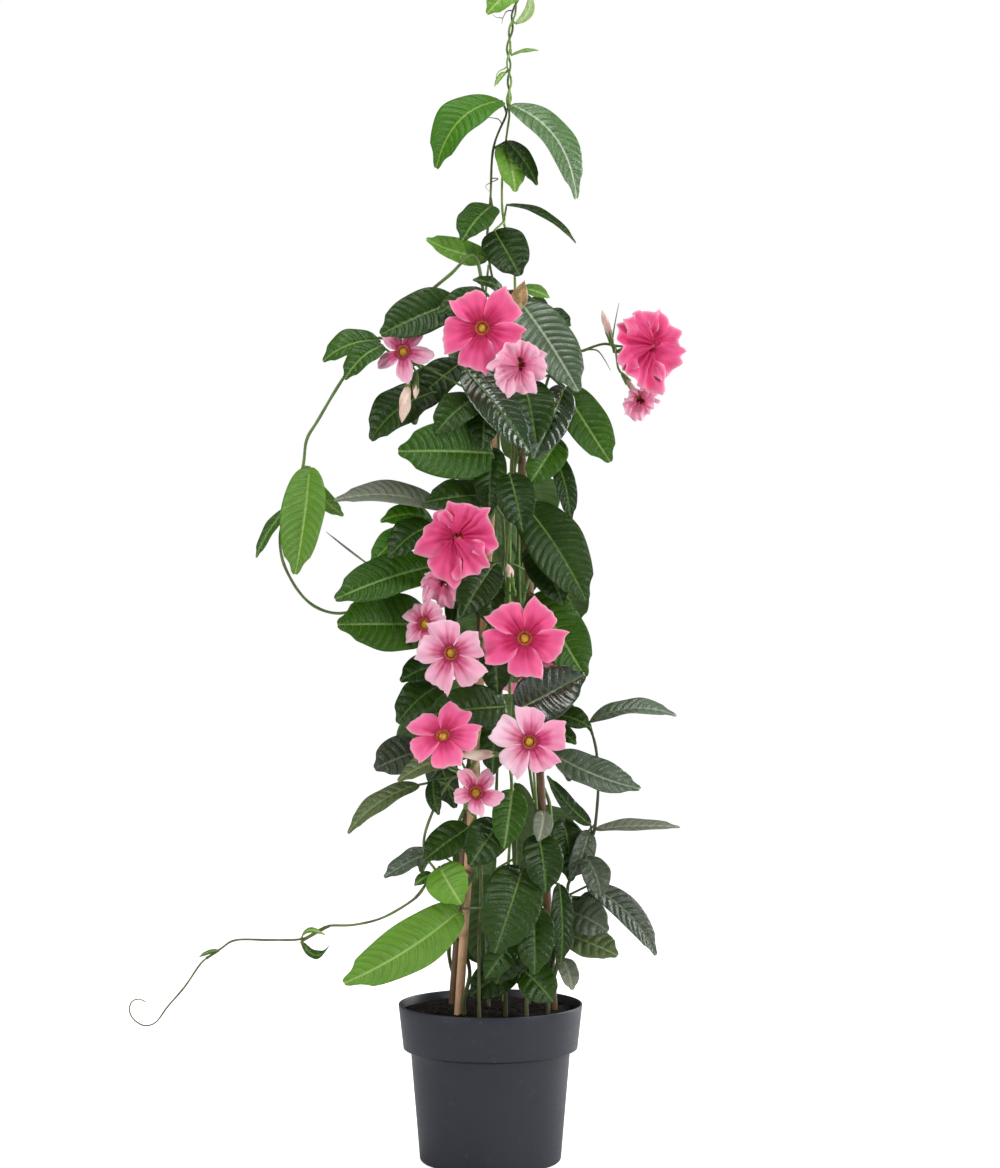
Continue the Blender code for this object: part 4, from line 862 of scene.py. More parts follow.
def add_tube(form, route, radii, sides, slots, across=None):
    """A closed round tube; each ring of faces takes its own slot."""
    start = form.start()
    count = len(route)
    slots = slots if isinstance(slots, list) else [slots] * count
    across = across or Vector((0, 1, 0))
    travelled = 0.0
    for index, middle in enumerate(route):
        ahead = (route[min(index + 1, count - 1)] - route[max(index - 1, 0)]).normalized()
        across = across - ahead * across.dot(ahead)
        if across.length < 0.1:
            across = ahead.orthogonal()
        across.normalize()
        other = ahead.cross(across)
        if index:
            travelled += (middle - route[index - 1]).length
        for side in range(sides):
            place = middle + around(across, other, 2 * math.pi * side / sides) * radii[index]
            form.point(place, Span=(travelled * SPAN, side / sides * 0.1), Veins=(0.5, 0.0))
    for index in range(count - 1):
        form.bridge(start + index * sides, start + (index + 1) * sides, sides, slots[index])
    form.caps(start, start + (count - 1) * sides, sides, (slots[0], slots[-1]))


def add_sheet(form, grid, thickness, rim, top, bottom, maps, tone):
    """A closed thin body from rows of points, with its own maps and a thinner border."""
    rows = len(grid)
    columns = len(grid[0])
    start = form.start()
    cells = [(row, column) for row in range(rows) for column in range(columns)]
    normals = []
    for row, column in cells:
        along = grid[min(row + 1, rows - 1)][column] - grid[max(row - 1, 0)][column]
        beside = grid[row][min(column + 1, columns - 1)] - grid[row][max(column - 1, 0)]
        normal = beside.cross(along)
        normals.append(normal.normalized() if normal.length > 0 else Vector((0, 0, 1)))
    for facing in (1, -1):
        for here, (row, column) in enumerate(cells):
            inner = 0 < row < rows - 1 and 0 < column < columns - 1
            depth = (thickness if inner else rim) / 2 * facing
            shade = tone[here] if isinstance(tone, list) else tone
            place = grid[row][column] + normals[here] * depth
            form.point(place, shade, **{name: values[here] for name, values in maps.items()})
    back = start + rows * columns
    for row in range(rows - 1):
        for low in range(row * columns, row * columns + columns - 1):
            high = low + columns
            form.face((start + low, start + low + 1, start + high + 1, start + high), top)
            form.face((back + low, back + high, back + high + 1, back + low + 1), bottom)
    border = list(range(columns))
    border += [row * columns + columns - 1 for row in range(1, rows)]
    border += [(rows - 1) * columns + column for column in reversed(range(columns - 1))]
    border += [row * columns for row in reversed(range(1, rows - 1))]
    for here, there in zip(border, border[1:] + border[:1]):
        form.face((start + there, start + here, back + here, back + there), top)


def solid_of(node):
    """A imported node's surface and its points, to read from the solids where things are."""
    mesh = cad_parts[node].data
    places = [vertex.co.copy() for vertex in mesh.vertices]
    surface = BVHTree.FromPolygons(places, [tuple(polygon.vertices) for polygon in mesh.polygons])
    corners = KDTree(len(places))
    for index, place in enumerate(places):
        corners.insert(place, index)
    corners.balance()
    return surface, corners


def width_share(s):
    """Half width of a blade along its length: round at the base and drawn out at the tip."""
    return 2.07 * s**0.45 * (1 - s) ** 0.62


def leaf_frame(leaf, slide):
    """Base, tip and the two directions that a blade is drawn from."""
    base = leaf["base"] + leaf["slide"] * slide
    tip = leaf["tip"] + leaf["slide"] * slide
    middle = (base + tip) / 2
    outward = Vector((middle.x - APEX.x * 0.5, middle.y, 0)).normalized()
    if middle.y < 0:
        outward = (outward + Vector((0, -FORWARD_LEAN, 0))).normalized()
    rise = math.radians(leaf["rise"])
    hint = outward * math.cos(rise) + Vector((0, 0, 1)) * math.sin(rise)
    along = (tip - base).normalized()
    normal = (hint - along * hint.dot(along)).normalized()
    return base, tip, normal, along.cross(normal)


def front_leaves(name):
    leaves = []
    for index, (base, tip, width, lift, rise, tone, *bend) in enumerate(LEAVES.get(name, [])):
        leaves.append(
            {
                "base": seen(base),
                "tip": seen(tip),
                "slide": sight_line(base),
                "width": width * MM,
                "lift": lift * MM,
                "rise": rise,
                "bend": sum(bend) * MM,
                "tone": tone,
                "phase": index * 1.7,
            }
        )
    return leaves


def reach_at(height):
    for (low, near), (high, far) in zip(REACH, REACH[1:]):
        if height <= high:
            return near + (far - near) * (height - low) / (high - low)
    return REACH[-1][1]


def back_leaves(name):
    """Leaves on the sides that the rows leave bare, spread by a fixed turn."""
    if name not in BACK_LEAVES:
        return []
    lowest, highest, count, (first, last) = BACK_LEAVES[name]
    leaves = []
    for index in range(count):
        height = lowest + (highest - lowest) * index / (count - 1)
        turn = math.radians(first + (last - first) * (index * BACK_TURN % 1))
        way = Vector((-math.sin(turn), -math.cos(turn), 0))
        reach = reach_at(height)
        start = Vector((APEX.x * height * MM / APEX.z, 0, height * MM)) + way * reach * BACK_START * MM
        fall = BACK_DROOP[0] + BACK_DROOP[1] * (index * 0.37 % 1)
        long = BACK_LENGTH[0] + BACK_LENGTH[1] * (index % 3)
        wide = BACK_WIDTH[0] + BACK_WIDTH[1] * (index % 3)
        leaves.append(
            {
                "base": start,
                "tip": start + way * reach * long * MM + Vector((0, 0, -fall * reach * MM)),
                "slide": way,
                "width": reach * wide * MM,
                "lift": BACK_LIFT,
                "rise": BACK_RISE,
                "bend": BACK_BEND * math.sin(index * 2.3),
                "tone": BACK_TONES[index % len(BACK_TONES)],
                "phase": index * 2.1,
            }
        )
    return leaves


def roots_near(route, place, most):
    """Points of a vine that a stalk may leave from, the nearest first."""
    target = place - Vector((0, 0, 0.012))
    return sorted(route[3:], key=lambda point: (point - target).length)[:most]


def best_root(surface, roots, path_from, depth):
    """The root whose path lies just inside the solid all along."""

    def misfit(root):
        path = path_from(root)
        total = 0.0
        for first, second in zip(path, path[1:]):
            for share in (0.35, 0.6, 0.85):
                away = surface.find_nearest(first.lerp(second, share))[3]
                total += abs(away - depth)
        return total / len(path)

    return min(roots, key=misfit)


# Grid of a blade: its columns from edge to edge, its rows of faces between two side veins, the
# distance between two side veins in metres and where the first and last row lie
BLADE_HALF = (0.09, 0.23, 0.40, 0.58, 0.76, 0.90, 1.0)
BLADE_COLUMNS = (*(-t for t in reversed(BLADE_HALF)), 0.0, *BLADE_HALF)
ROWS_PER_VEIN = 4
VEIN_SPACING = 0.0085
FEWEST_VEINS = 4
MOST_VEINS = 14
FIRST_ROW = 0.006
LAST_ROW = 0.990
VEIN_SWEEP = 0.15
QUILTING = 0.0019
TIP_WAIST = 0.30
WAIST_START = 0.84
BLADE_THICKNESS = 0.0006
BLADE_RIM = 0.0003
MIDRIB_RADIUS = 0.0008
EDGE_RUFFLE = 0.0008


def blade_point(leaf, axes, s, t, phase):
    """A point of the blade: the form of the solid, with quilting between the veins."""
    base, tip, normal, side = axes
    arch = 4 * s * (1 - s)
    share = width_share(s)
    if s > WAIST_START:
        share *= 1 - TIP_WAIST * math.sin(math.pi * (s - WAIST_START) / (1 - WAIST_START))
    half = leaf["width"] / 2 * share
    wave = math.sin(leaf["phase"] + 11 * s + (1.6 if t > 0 else 0)) * BLADE_WAVE * arch
    lift = leaf["lift"] * arch + half * abs(t) * (BLADE_FOLD + wave)
    quilt = abs(math.sin(math.pi * phase)) ** 0.75 * min(1.0, abs(t) * 5) * (1 - abs(t) ** 3)
    size = min(1.0, half / 0.020)
    lift += QUILTING * size * (quilt - 0.5)
    ruffle = math.sin(leaf["phase"] * 3 + 14 * s + (2 if t > 0 else 0))
    lift += EDGE_RUFFLE * size * abs(t) ** 4 * ruffle
    return base.lerp(tip, s) + normal * lift + side * (half * t + leaf["bend"] * arch)


def add_blade(form, leaf, axes, top, bottom, shade):
    """One blade, drawn in rows that follow its side veins."""
    length = (axes[1] - axes[0]).length
    veins = max(FEWEST_VEINS, min(MOST_VEINS, round(length / VEIN_SPACING)))
    count = veins * ROWS_PER_VEIN
    grid = []
    phases = []
    spans = []
    for row in range(count + 1):
        v = FIRST_ROW + (LAST_ROW - FIRST_ROW) * row / count
        cells = []
        for t in BLADE_COLUMNS:
            s = v + VEIN_SWEEP * abs(t) ** 1.6 * math.sin(math.pi * v)
            phase = v * veins + (0.5 if t > 0 else 0)
            cells.append(blade_point(leaf, axes, s, t, phase))
            phases.append((phase, abs(t)))
            spans.append((s * length * SPAN, t * leaf["width"] / 2 * width_share(s) * SPAN))
        grid.append(cells)
    maps = {"Veins": phases, "Span": spans}
    add_sheet(form, grid, BLADE_THICKNESS, BLADE_RIM, top, bottom, maps, shade)


def stalk_path(axes, root):
    """From the vine's middle to the foot of the blade, as the solids have it."""
    base = axes[0]
    reach = (base - root).length
    middle = (root + base) / 2 + Vector((0, 0, min(0.014, reach * 0.15)))
    return [root, base] if reach < LONG_STALK else [root, middle, base]


def add_stalk(form, leaf, axes, root, slots):
    """Leaf stalk, thick at both ends, which runs on as the midrib to the tip of the blade."""
    path = smooth_route(stalk_path(axes, root), FINE_SPACING)
    count = len(path)
    radii = []
    for index in range(count):
        share = index / count
        radii.append(STALK_RADIUS * (1 + 0.45 * (1 - share) ** 6 + 0.15 * share**4))
    kinds = [slots[0]] * count
    length = (axes[1] - axes[0]).length
    steps = max(6, round(length / 0.006))
    for step in range(1, steps + 1):
        s = 0.02 + 0.95 * step / steps
        path.append(blade_point(leaf, axes, s, 0, 0) - axes[2] * MIDRIB_RADIUS * 0.30)
        radii.append(MIDRIB_RADIUS * min(1.0, length / 0.06) * (1.15 - 0.90 * s))
        kinds.append(slots[1])
    add_tube(form, path, radii, 8, kinds, across=axes[3])


def petal_reach(outline, turn):
    """Reach of a lobe's edge at a place across it."""
    for (low, near), (high, far) in zip(outline, outline[1:]):
        if turn <= high:
            share = (turn - low) / (high - low)
            share = share * share * (3 - 2 * share) * 0.35 + share * 0.65
            return near + (far - near) * share
    return outline[-1][1]


# Outlines of a lobe: place across it from -1 to 1, and share of the flower's radius
FULL_LOBES = (
    (
        (-1.0, 0.52), (-0.86, 0.74), (-0.62, 0.92), (-0.30, 0.95), (0.10, 0.93), (0.42, 1.0),
        (0.54, 1.10), (0.64, 0.97), (0.84, 0.80), (1.0, 0.54),
    ),
    (
        (-1.0, 0.54), (-0.80, 0.82), (-0.62, 0.97), (-0.25, 0.93), (0.05, 0.96), (0.24, 1.0),
        (0.36, 1.09), (0.44, 0.98), (0.66, 0.86), (0.86, 0.72), (1.0, 0.52),
    ),
    (
        (-1.0, 0.50), (-0.84, 0.70), (-0.66, 0.86), (-0.36, 0.90), (-0.05, 0.94), (0.24, 0.96),
        (0.50, 1.0), (0.62, 1.11), (0.70, 0.97), (0.84, 0.80), (1.0, 0.56),
    ),
)
SLIM_LOBES = (
    (
        (-1.0, 0.34), (-0.86, 0.62), (-0.60, 0.84), (-0.25, 0.95), (0.05, 0.99), (0.30, 1.06),
        (0.45, 1.02), (0.62, 0.88), (0.82, 0.66), (1.0, 0.36),
    ),
    (
        (-1.0, 0.36), (-0.80, 0.56), (-0.58, 0.78), (-0.30, 0.90), (-0.05, 1.0), (0.14, 1.08),
        (0.30, 1.0), (0.55, 0.82), (0.80, 0.60), (1.0, 0.34),
    ),
)

# Lobes: the turn for each in degrees, the share of the length that is joined to the next, how
# much wider than its share the free part is, and how deep its relief is in metres. Flowers
# with notches deeper than SLIM_DEPTH have slim lobes. Those with more ruffle than FRILL_RUFFLE
# wilt: their lobes are joined less, overlap more and tuck their sides behind each other.
LOBE_TURN = 72
LOBE_JOIN = 0.42
LOBE_OVERLAP = 0.18
SLIM_DEPTH = 0.6
LOBE_LAYER = 0.0013
FRILL_RUFFLE = 3.0
FRILL_JOIN = 0.20
FRILL_OVERLAP = 0.55
FRILL_TUCK = 0.012
FULL_RADIUS = 45
LOBE_CREASES = 0.0011
LOBE_HOLLOW = 0.0022
LOBE_SWELLING = 0.0012
LOBE_GROOVE = 0.0016
LOBE_ROWS = 18
LOBE_COLUMNS = 30
PETAL_THICKNESS = 0.0006
PETAL_RIM = 0.0003

# Tube and throat of a flower: share of the length and radius in millimetres
FUNNEL_PROFILE = (
    (0.0, 2.4), (0.10, 2.6), (0.35, 2.9), (0.58, 3.3), (0.72, 4.1), (0.84, 5.1), (0.94, 5.9), (1.0, 6.5),
)
FUNNEL_SIDES = 40
FUNNEL_WALL = 0.0005

# Cone of anthers: share of the throat and radius in millimetres
ANTHER_PROFILE = ((0, 2.6), (0.20, 4.0), (0.50, 5.2), (0.66, 4.2), (0.72, 1.0))

# Grids of the sepals and buds, and how thick a sepal is
SEPAL_ROWS = 6
SEPAL_THICKNESS = 0.0004
SEPAL_RIM = 0.0003
BUD_SIDES = 30
BUD_RINGS = 30


def bloom_axes(look):
    """The way a flower faces, and two directions across it."""
    turn = math.radians(look[0])
    rise = math.radians(look[1])
    ahead = Vector((math.sin(turn) * math.cos(rise), -math.cos(turn) * math.cos(rise), math.sin(rise)))
    across = Vector((0, 0, 1)).cross(ahead).normalized()
    return ahead, across, ahead.cross(across)


def lobe_ripple(seed, q, turn, frilled):
    """Waves of a lobe's free edge; those of a wilting flower are tighter and wander outwards."""
    if frilled:
        wide = math.sin(5.2 * turn + seed + 3 * q)
        return wide + 0.7 * math.sin(14 * turn + seed * 2.1 - 2 * q)
    return math.sin(5.2 * turn + seed) + 0.6 * math.sin(9.5 * turn + seed * 2.1)


def lobe_relief(seed, q, turn):
    """Creases, hollow sides, the swelling beside the middle and the groove along it."""
    dome = math.sin(math.pi * q)
    lift = LOBE_CREASES * dome * math.sin(13 * turn + seed * 3) * (1 - turn * turn)
    lift -= LOBE_HOLLOW * turn**6 * math.sin(math.pi * min(1.0, q / 0.55))
    lift += LOBE_SWELLING * math.sin(math.pi * min(1, q * 1.4)) * (1 - abs(turn) ** 0.7)
    lift -= LOBE_GROOVE * dome * (1 - min(1.0, abs(turn + 0.1) * 6))
    return lift


def add_lobe(form, name, lobe):
    """One of a flower's five lobes, laid over the next like the blades of a pinwheel."""
    _, place, look, radius, opening, sag, spin, _ = BLOOMS[name]
    ahead, across, above = bloom_axes(look)
    throat = seen(place)
    ruffle, curl, depth, pale, pale_side = BLOOM_LOOKS[name]
    slim = depth > SLIM_DEPTH
    outlines = SLIM_LOBES if slim else FULL_LOBES
    outline = outlines[(lobe * 2 + round(spin)) % len(outlines)]
    lean = math.radians(opening)
    seed = spin * 0.7 + lobe * 2.3
    swell = 1 + 0.05 * math.sin(seed * 1.9)
    frilled = ruffle > FRILL_RUFFLE
    join = FRILL_JOIN if frilled else LOBE_JOIN
    tuck = FRILL_TUCK * radius / FULL_RADIUS * abs(math.sin(seed)) if frilled else 0.0
    overlap = FRILL_OVERLAP if frilled else LOBE_OVERLAP
    if slim:
        overlap = 0.0
        depth = 0
    grid = []
    petal = []
    spans = []
    shades = []
    for row in range(LOBE_ROWS + 1):
        q = row / LOBE_ROWS
        free = max(0.0, (q - join) / (1 - join))
        half = math.radians(LOBE_TURN / 2) * (1 + overlap * free)
        cells = []
        for column in range(LOBE_COLUMNS + 1):
            turn = 2 * column / LOBE_COLUMNS - 1
            angle = math.radians(spin + LOBE_TURN * (lobe + 0.5)) + half * turn
            way = around(across, above, angle)
            notch = 1 + 0.014 * math.sin(19 * turn + seed) * (1 - turn * turn) - depth * turn**6
            reach = radius * MM * petal_reach(outline, turn) * swell * notch
            spread = (reach - BLOOM_MOUTH) * q
            lift = ruffle * MM * free**0.8 * lobe_ripple(seed, q, turn, frilled)
            lift += LOBE_LAYER * turn * min(1.0, free * 3)
            lift -= curl * MM * q**2.4 * (0.6 + 0.4 * abs(turn))
            lift += lobe_relief(seed, q, turn)
            point = throat + way * (BLOOM_MOUTH * (0.98 + 0.02 * q) + spread * math.sin(lean))
            point += ahead * (spread * math.cos(lean) + lift)
            point += (ahead - way) * tuck * math.sin(math.pi * min(1.0, q / 0.5))
            point.z -= sag * MM * (spread / (radius * MM)) ** 2
            cells.append(point)
            petal.append((0.32 + 0.68 * q, (turn + 1) / 2))
            spans.append((spread * SPAN, turn * half * spread * SPAN))
            # The tone holds the flower's paleness, paler to one side, and a small random change; its 0.10 *
            # turn is painted light and shade, one half of each lobe paler and the other deeper.
            shades.append(pale + pale_side * way.x + 0.10 * turn + 0.05 * math.sin(seed))
        grid.append(cells)
    maps = {"Petal": petal, "Span": spans}
    add_sheet(form, grid, PETAL_THICKNESS, PETAL_RIM, 1, 0, maps, shades)


def add_funnel(form, name):
    """The tube and throat of a flower, hollow like the real one."""
    _, place, look, _, _, _, spin, _ = BLOOMS[name]
    ahead, across, above = bloom_axes(look)
    foot = seen(place) - ahead * (BLOOM_TUBE + BLOOM_THROAT)
    pale = BLOOM_LOOKS[name][3]
    sides = FUNNEL_SIDES
    rows = smooth_route([Vector((share, 0, reach * MM)) for share, reach in FUNNEL_PROFILE], 0.06)
    rings = []
    for inset, order in ((0.0, rows), (FUNNEL_WALL, list(reversed(rows)))):
        for row in order:
            start = form.start()
            if inset and row.x < 0.04:
                continue
            for side in range(sides):
                angle = 2 * math.pi * side / sides
                flute = 1 + 0.05 * math.cos(5 * angle - math.radians(spin) * 5) * row.x
                reach = max(row.z * flute - inset, 0.0004)
                point = foot + ahead * ((BLOOM_TUBE + BLOOM_THROAT) * row.x)
                point += around(across, above, angle) * reach
                form.point(point, pale, Petal=(0.34 * row.x, side / sides), Span=(row.x, side / sides))
            rings.append((start, 0 if inset else 1))
    for (low, _), (high, slot) in zip(rings, rings[1:]):
        form.bridge(low, high, sides, slot)
    form.caps(rings[0][0], rings[-1][0], sides, (1, 0))


def add_anthers(form, name):
    """The small cone of anthers that closes the bottom of the throat."""
    ahead, across, _ = bloom_axes(BLOOMS[name][2])
    foot = seen(BLOOMS[name][1]) - ahead * (BLOOM_THROAT * 0.80)
    route = [foot + ahead * BLOOM_THROAT * share for share, _ in ANTHER_PROFILE]
    add_tube(form, route, [reach * MM for _, reach in ANTHER_PROFILE], 16, 2, across=across)


def flower_path(root, foot, ahead):
    """Flower stalk from the vine to the calyx, as the solids have it."""
    seat = foot - ahead * GAP
    neck = seat - ahead * CALYX_LENGTH
    reach = (neck - root).length
    bend = neck - ahead * min(0.010, reach * 0.3)
    return [root, bend, neck], seat


def add_calyx(form, foot, ahead, slot):
    """Five narrow sepals that clasp the tube of a flower."""
    across = ahead.orthogonal().normalized()
    above = ahead.cross(across)
    for sepal in range(5):
        way = around(across, above, 2 * math.pi * sepal / 5 + foot.z * 40)
        side = ahead.cross(way)
        grid = []
        spans = []
        for row in range(SEPAL_ROWS + 1):
            s = row / SEPAL_ROWS
            wide = 0.0014 * (1 - s) ** 0.6 * (0.7 + 1.2 * s) + 0.0001
            middle = foot + ahead * (0.0115 * s - 0.0025) + way * (0.0029 + 0.0012 * s * s)
            places = [column / 2 - 1 for column in range(5)]
            grid.append([middle + side * wide * t - way * 0.0006 * t * t for t in places])
            spans += [(s * 0.2, t * 0.03) for t in places]
        maps = {"Veins": [(0.5, 0.0)] * len(spans), "Span": spans}
        add_sheet(form, grid, SEPAL_THICKNESS, SEPAL_RIM, slot, slot, maps, 0.5)


def add_scrap(form, places, radius):
    """A thin tapering shoot that starts from the nearest point of the piece."""
    nearest = min(form.points, key=lambda point: (point - places[0]).length)
    path = smooth_route([nearest.copy()] + places, 0.002)
    last = len(path) - 1
    radii = [radius * (1 - 0.75 * index / last) for index in range(last + 1)]
    add_tube(form, path, radii, 6, 0)


def fit_stalk_root(surface, route, axes):
    roots = roots_near(route, axes[0], LEAF_ROOTS)
    return best_root(surface, roots, lambda root: stalk_path(axes, root), STALK_RADIUS * CENTRE_DEPTH)


def slide_of(corners, leaf):
    """How far the solids slid this leaf along its line: there the tip is one of their points."""

    def miss(slide):
        return corners.find(leaf["tip"] + leaf["slide"] * slide)[2]

    return min((step * MM for step in SLIDES), key=miss)


def flowers_of(name):
    """Seat and direction of each flower and bud of a vine."""
    flowers = []
    for vine, place, look, *_ in BLOOMS.values():
        if vine == name:
            ahead = bloom_axes(look)[0]
            flowers.append((seen(place) - ahead * (BLOOM_TUBE + BLOOM_THROAT), ahead))
    for vine, base, end, _, _ in BUDS.values():
        if vine == name:
            flowers.append((seen(base), (seen(end) - seen(base)).normalized()))
    return flowers


def stem_radii(name, count):
    """Radius of a stem at each of its points: it thins upwards and swells a little here and there."""
    foot, tip, _ = VINES[name]
    last = count - 1
    radii = []
    for index in range(count):
        ripple = 0.06 * math.sin(index * 0.9) + 0.04 * math.sin(index * 0.37 + 1)
        radius = (foot + (tip - foot) * (index / last)) * MM * (1 + ripple)
        if name in CURLED:
            curled = max(0.0, index / last - CURL_START) / (1 - CURL_START)
            radius *= 1 - CURL_THINNING * curled
        radii.append(radius)
    return radii


def build_vine(name, skins):
    """A vine's stem with its leaves, their stalks, and the stalks and calyces of its flowers."""
    surface, corners = solid_of(name)
    coarse = vine_route(name, STEM_SPACING)
    route = vine_route(name, FINE_SPACING)
    foot = VINES[name][0]
    form = Form()
    materials = [skins[f"stem_{name}"], skins["calyx"], skins["leaf_underside"], skins["midrib"]]
    slots = {}
    for index, leaf in enumerate(front_leaves(name) + back_leaves(name)):
        tone = leaf["tone"]
        if tone not in slots:
            slots[tone] = len(materials)
            materials.append(skins[f"leaf_{tone}"])
        axes = leaf_frame(leaf, slide_of(corners, leaf))
        root = fit_stalk_root(surface, coarse, axes)
        shade = 0.5 + 0.22 * math.sin(index * 2.7 + foot)
        add_blade(form, leaf, axes, slots[tone], 2, shade)
        add_stalk(form, leaf, axes, root, (0, 3))
    add_tube(form, route, stem_radii(name, len(route)), 12, 0)
    for seat, ahead in flowers_of(name):
        roots = roots_near(coarse, seat, FLOWER_ROOTS)
        depth = FLOWER_STALK_RADIUS * CENTRE_DEPTH
        root = best_root(surface, roots, lambda root: flower_path(root, seat, ahead)[0], depth)
        bends, end = flower_path(root, seat, ahead)
        path = smooth_route(bends, FINE_SPACING)
        radii = [FLOWER_STALK_RADIUS * 0.95] * len(path)
        path += [path[-1] + ahead * 0.003, end - ahead * 0.002, end]
        radii += [CALYX_RADIUS * share for share in (0.72, 0.92, 0.80)]
        add_tube(form, path, radii, 12, 1)
        add_calyx(form, seat, ahead, 1)
    for vine, radius, places in SCRAPS:
        if vine == name:
            add_scrap(form, [seen(place) for place in places], radius * MM)
    finish = "young_leaf" if name.startswith("leader") else "leaf"
    form.make(f"{name}_foliage", materials, finish, name)


def build_bloom(name, skins):
    form = Form()
    add_funnel(form, name)
    for lobe in range(5):
        add_lobe(form, name, lobe)
    add_anthers(form, name)
    finish = "petal_hot" if BLOOMS[name][-1] == "hot pink" else "petal_pale"
    materials = [skins[finish], skins[f"{finish}_back"], skins["anthers"]]
    form.make(f"{name}_petals", materials, finish, name)


def build_bud(name, skins):
    """A furled bud: the lobes wound round each other in a long point."""
    _, base, tip, radius, colour = BUDS[name]
    low = seen(base)
    high = seen(tip)
    ahead = (high - low).normalized()
    across = ahead.orthogonal().normalized()
    above = ahead.cross(across)
    sides = BUD_SIDES
    withered = colour == "withered"
    form = Form()
    for ring in range(BUD_RINGS + 1):
        share = ring / BUD_RINGS
        wide = 0.42 * (1 - share**4) + 1.9 * share**0.9 * (1 - share) ** 0.9
        if withered:
            wide = (0.70 + 1.4 * share * (1 - share)) * (1 - share**3)
        for side in range(sides):
            angle = 2 * math.pi * side / sides
            if withered:
                fold = 0.30 * math.cos(2 * angle + 2 * share)
                fold += 0.16 * abs(math.sin(3 * angle + 4 * share))
            else:
                fold = 0.16 * math.cos(3 * angle - 9 * share)
            reach = radius * MM * max(0.05, min(1.0, wide)) * (1 + fold * math.sin(math.pi * share))
            place = low.lerp(high, share) + around(across, above, angle) * reach
            form.point(place, share, Span=(share, side / sides))
    for ring in range(BUD_RINGS):
        form.bridge(ring * sides, (ring + 1) * sides, sides)
    form.caps(0, BUD_RINGS * sides, sides)
    finish = "withered" if withered else "bud"
    form.make(f"{name}_furled", [skins[f"bud_{colour}"]], finish, name)


def rounded_corner(middle, radius, start, end, steps):
    """Points of an arc in a profile, from one angle to another in degrees."""
    points = []
    for step in range(steps + 1):
        angle = math.radians(start + (end - start) * step / steps)
        points.append((middle[0] + radius * math.cos(angle), middle[1] + radius * math.sin(angle)))
    return points


def turned(form, profile, sides, shape=None):
    """A closed solid turned about Z from (radius, height) points, which start and end on the axis."""
    bottom = form.point(Vector((0, 0, profile[0][1])))
    rings = []
    for radius, height in profile[1:-1]:
        rings.append(form.start())
        for side in range(sides):
            angle = 2 * math.pi * side / sides
            place = Vector((radius * math.cos(angle), radius * math.sin(angle), height))
            form.point(shape(place) if shape else place)
    top = form.point(Vector((0, 0, profile[-1][1])))
    for side in range(sides):
        beside = (side + 1) % sides
        form.face((bottom, rings[0] + beside, rings[0] + side))
        form.face((top, rings[-1] + side, rings[-1] + beside))
    for low, high in zip(rings, rings[1:]):
        form.bridge(low, high, sides)


def build_pot():
    """The shell, with a rounded foot, a collar and a rounded rim."""
    edge = COLLAR_ROUNDING
    profile = [(0, 0), (FOOT_RADIUS - 0.012, 0), (FOOT_RADIUS - 0.009, 0)]
    profile += rounded_corner((FOOT_RADIUS - FOOT_ROUNDING, FOOT_ROUNDING), FOOT_ROUNDING, -90, 0, 6)
    for part in range(1, 8):
        share = part / 8
        height = FOOT_ROUNDING + (COLLAR_FOOT_HEIGHT - 0.005 - FOOT_ROUNDING) * share
        profile.append((FOOT_RADIUS + (NECK_RADIUS - FOOT_RADIUS) * share, height))
    profile += [
        (NECK_RADIUS, COLLAR_FOOT_HEIGHT - 0.004),
        (NECK_RADIUS + 0.0006, COLLAR_FOOT_HEIGHT - 0.0026),
        (NECK_RADIUS + 0.0030, COLLAR_FOOT_HEIGHT - edge),
        (COLLAR_FOOT_RADIUS - edge * 1.5, COLLAR_FOOT_HEIGHT - 0.0004),
    ]
    profile += rounded_corner((COLLAR_FOOT_RADIUS - edge, COLLAR_FOOT_HEIGHT + edge), edge, -90, 0, 4)
    for part in range(1, 6):
        share = part / 6
        height = COLLAR_FOOT_HEIGHT + edge + (POT_HEIGHT - COLLAR_FOOT_HEIGHT - 0.004) * share
        profile.append((COLLAR_FOOT_RADIUS + (RIM_RADIUS - COLLAR_FOOT_RADIUS) * share * 0.97, height))
    profile += rounded_corner((RIM_RADIUS - POT_WALL / 2, POT_HEIGHT - POT_WALL / 2), POT_WALL / 2, 0, 180, 8)
    profile += [
        (COLLAR_FOOT_RADIUS - POT_WALL, COLLAR_FOOT_HEIGHT + 0.003),
        (NECK_RADIUS - POT_WALL, COLLAR_FOOT_HEIGHT - 0.001),
        (FOOT_RADIUS - POT_WALL, POT_FLOOR),
        (0, POT_FLOOR),
    ]
    form = Form()
    turned(form, profile, POT_SIDES)
    pot = form.make("pot_shell", [pot_material()], "pot", "pot")
    pot.data.set_sharp_from_angle(angle=math.radians(50))


def soil_height(place):
    """Crumbly relief of the soil: broad mounds, lumps and grains."""
    spot = Vector((place.x, place.y, 0))
    rise = 0.0022 * noise.noise(spot * 35) + 0.0022 * noise.noise(spot * 90 + Vector((3, 1, 5)))
    lump = noise.voronoi(spot * 150)[0]
    rise += 0.0022 * (0.5 - min(1.0, lump[0] * 1.4)) + 0.0008 * noise.noise(spot * 420)
    return rise


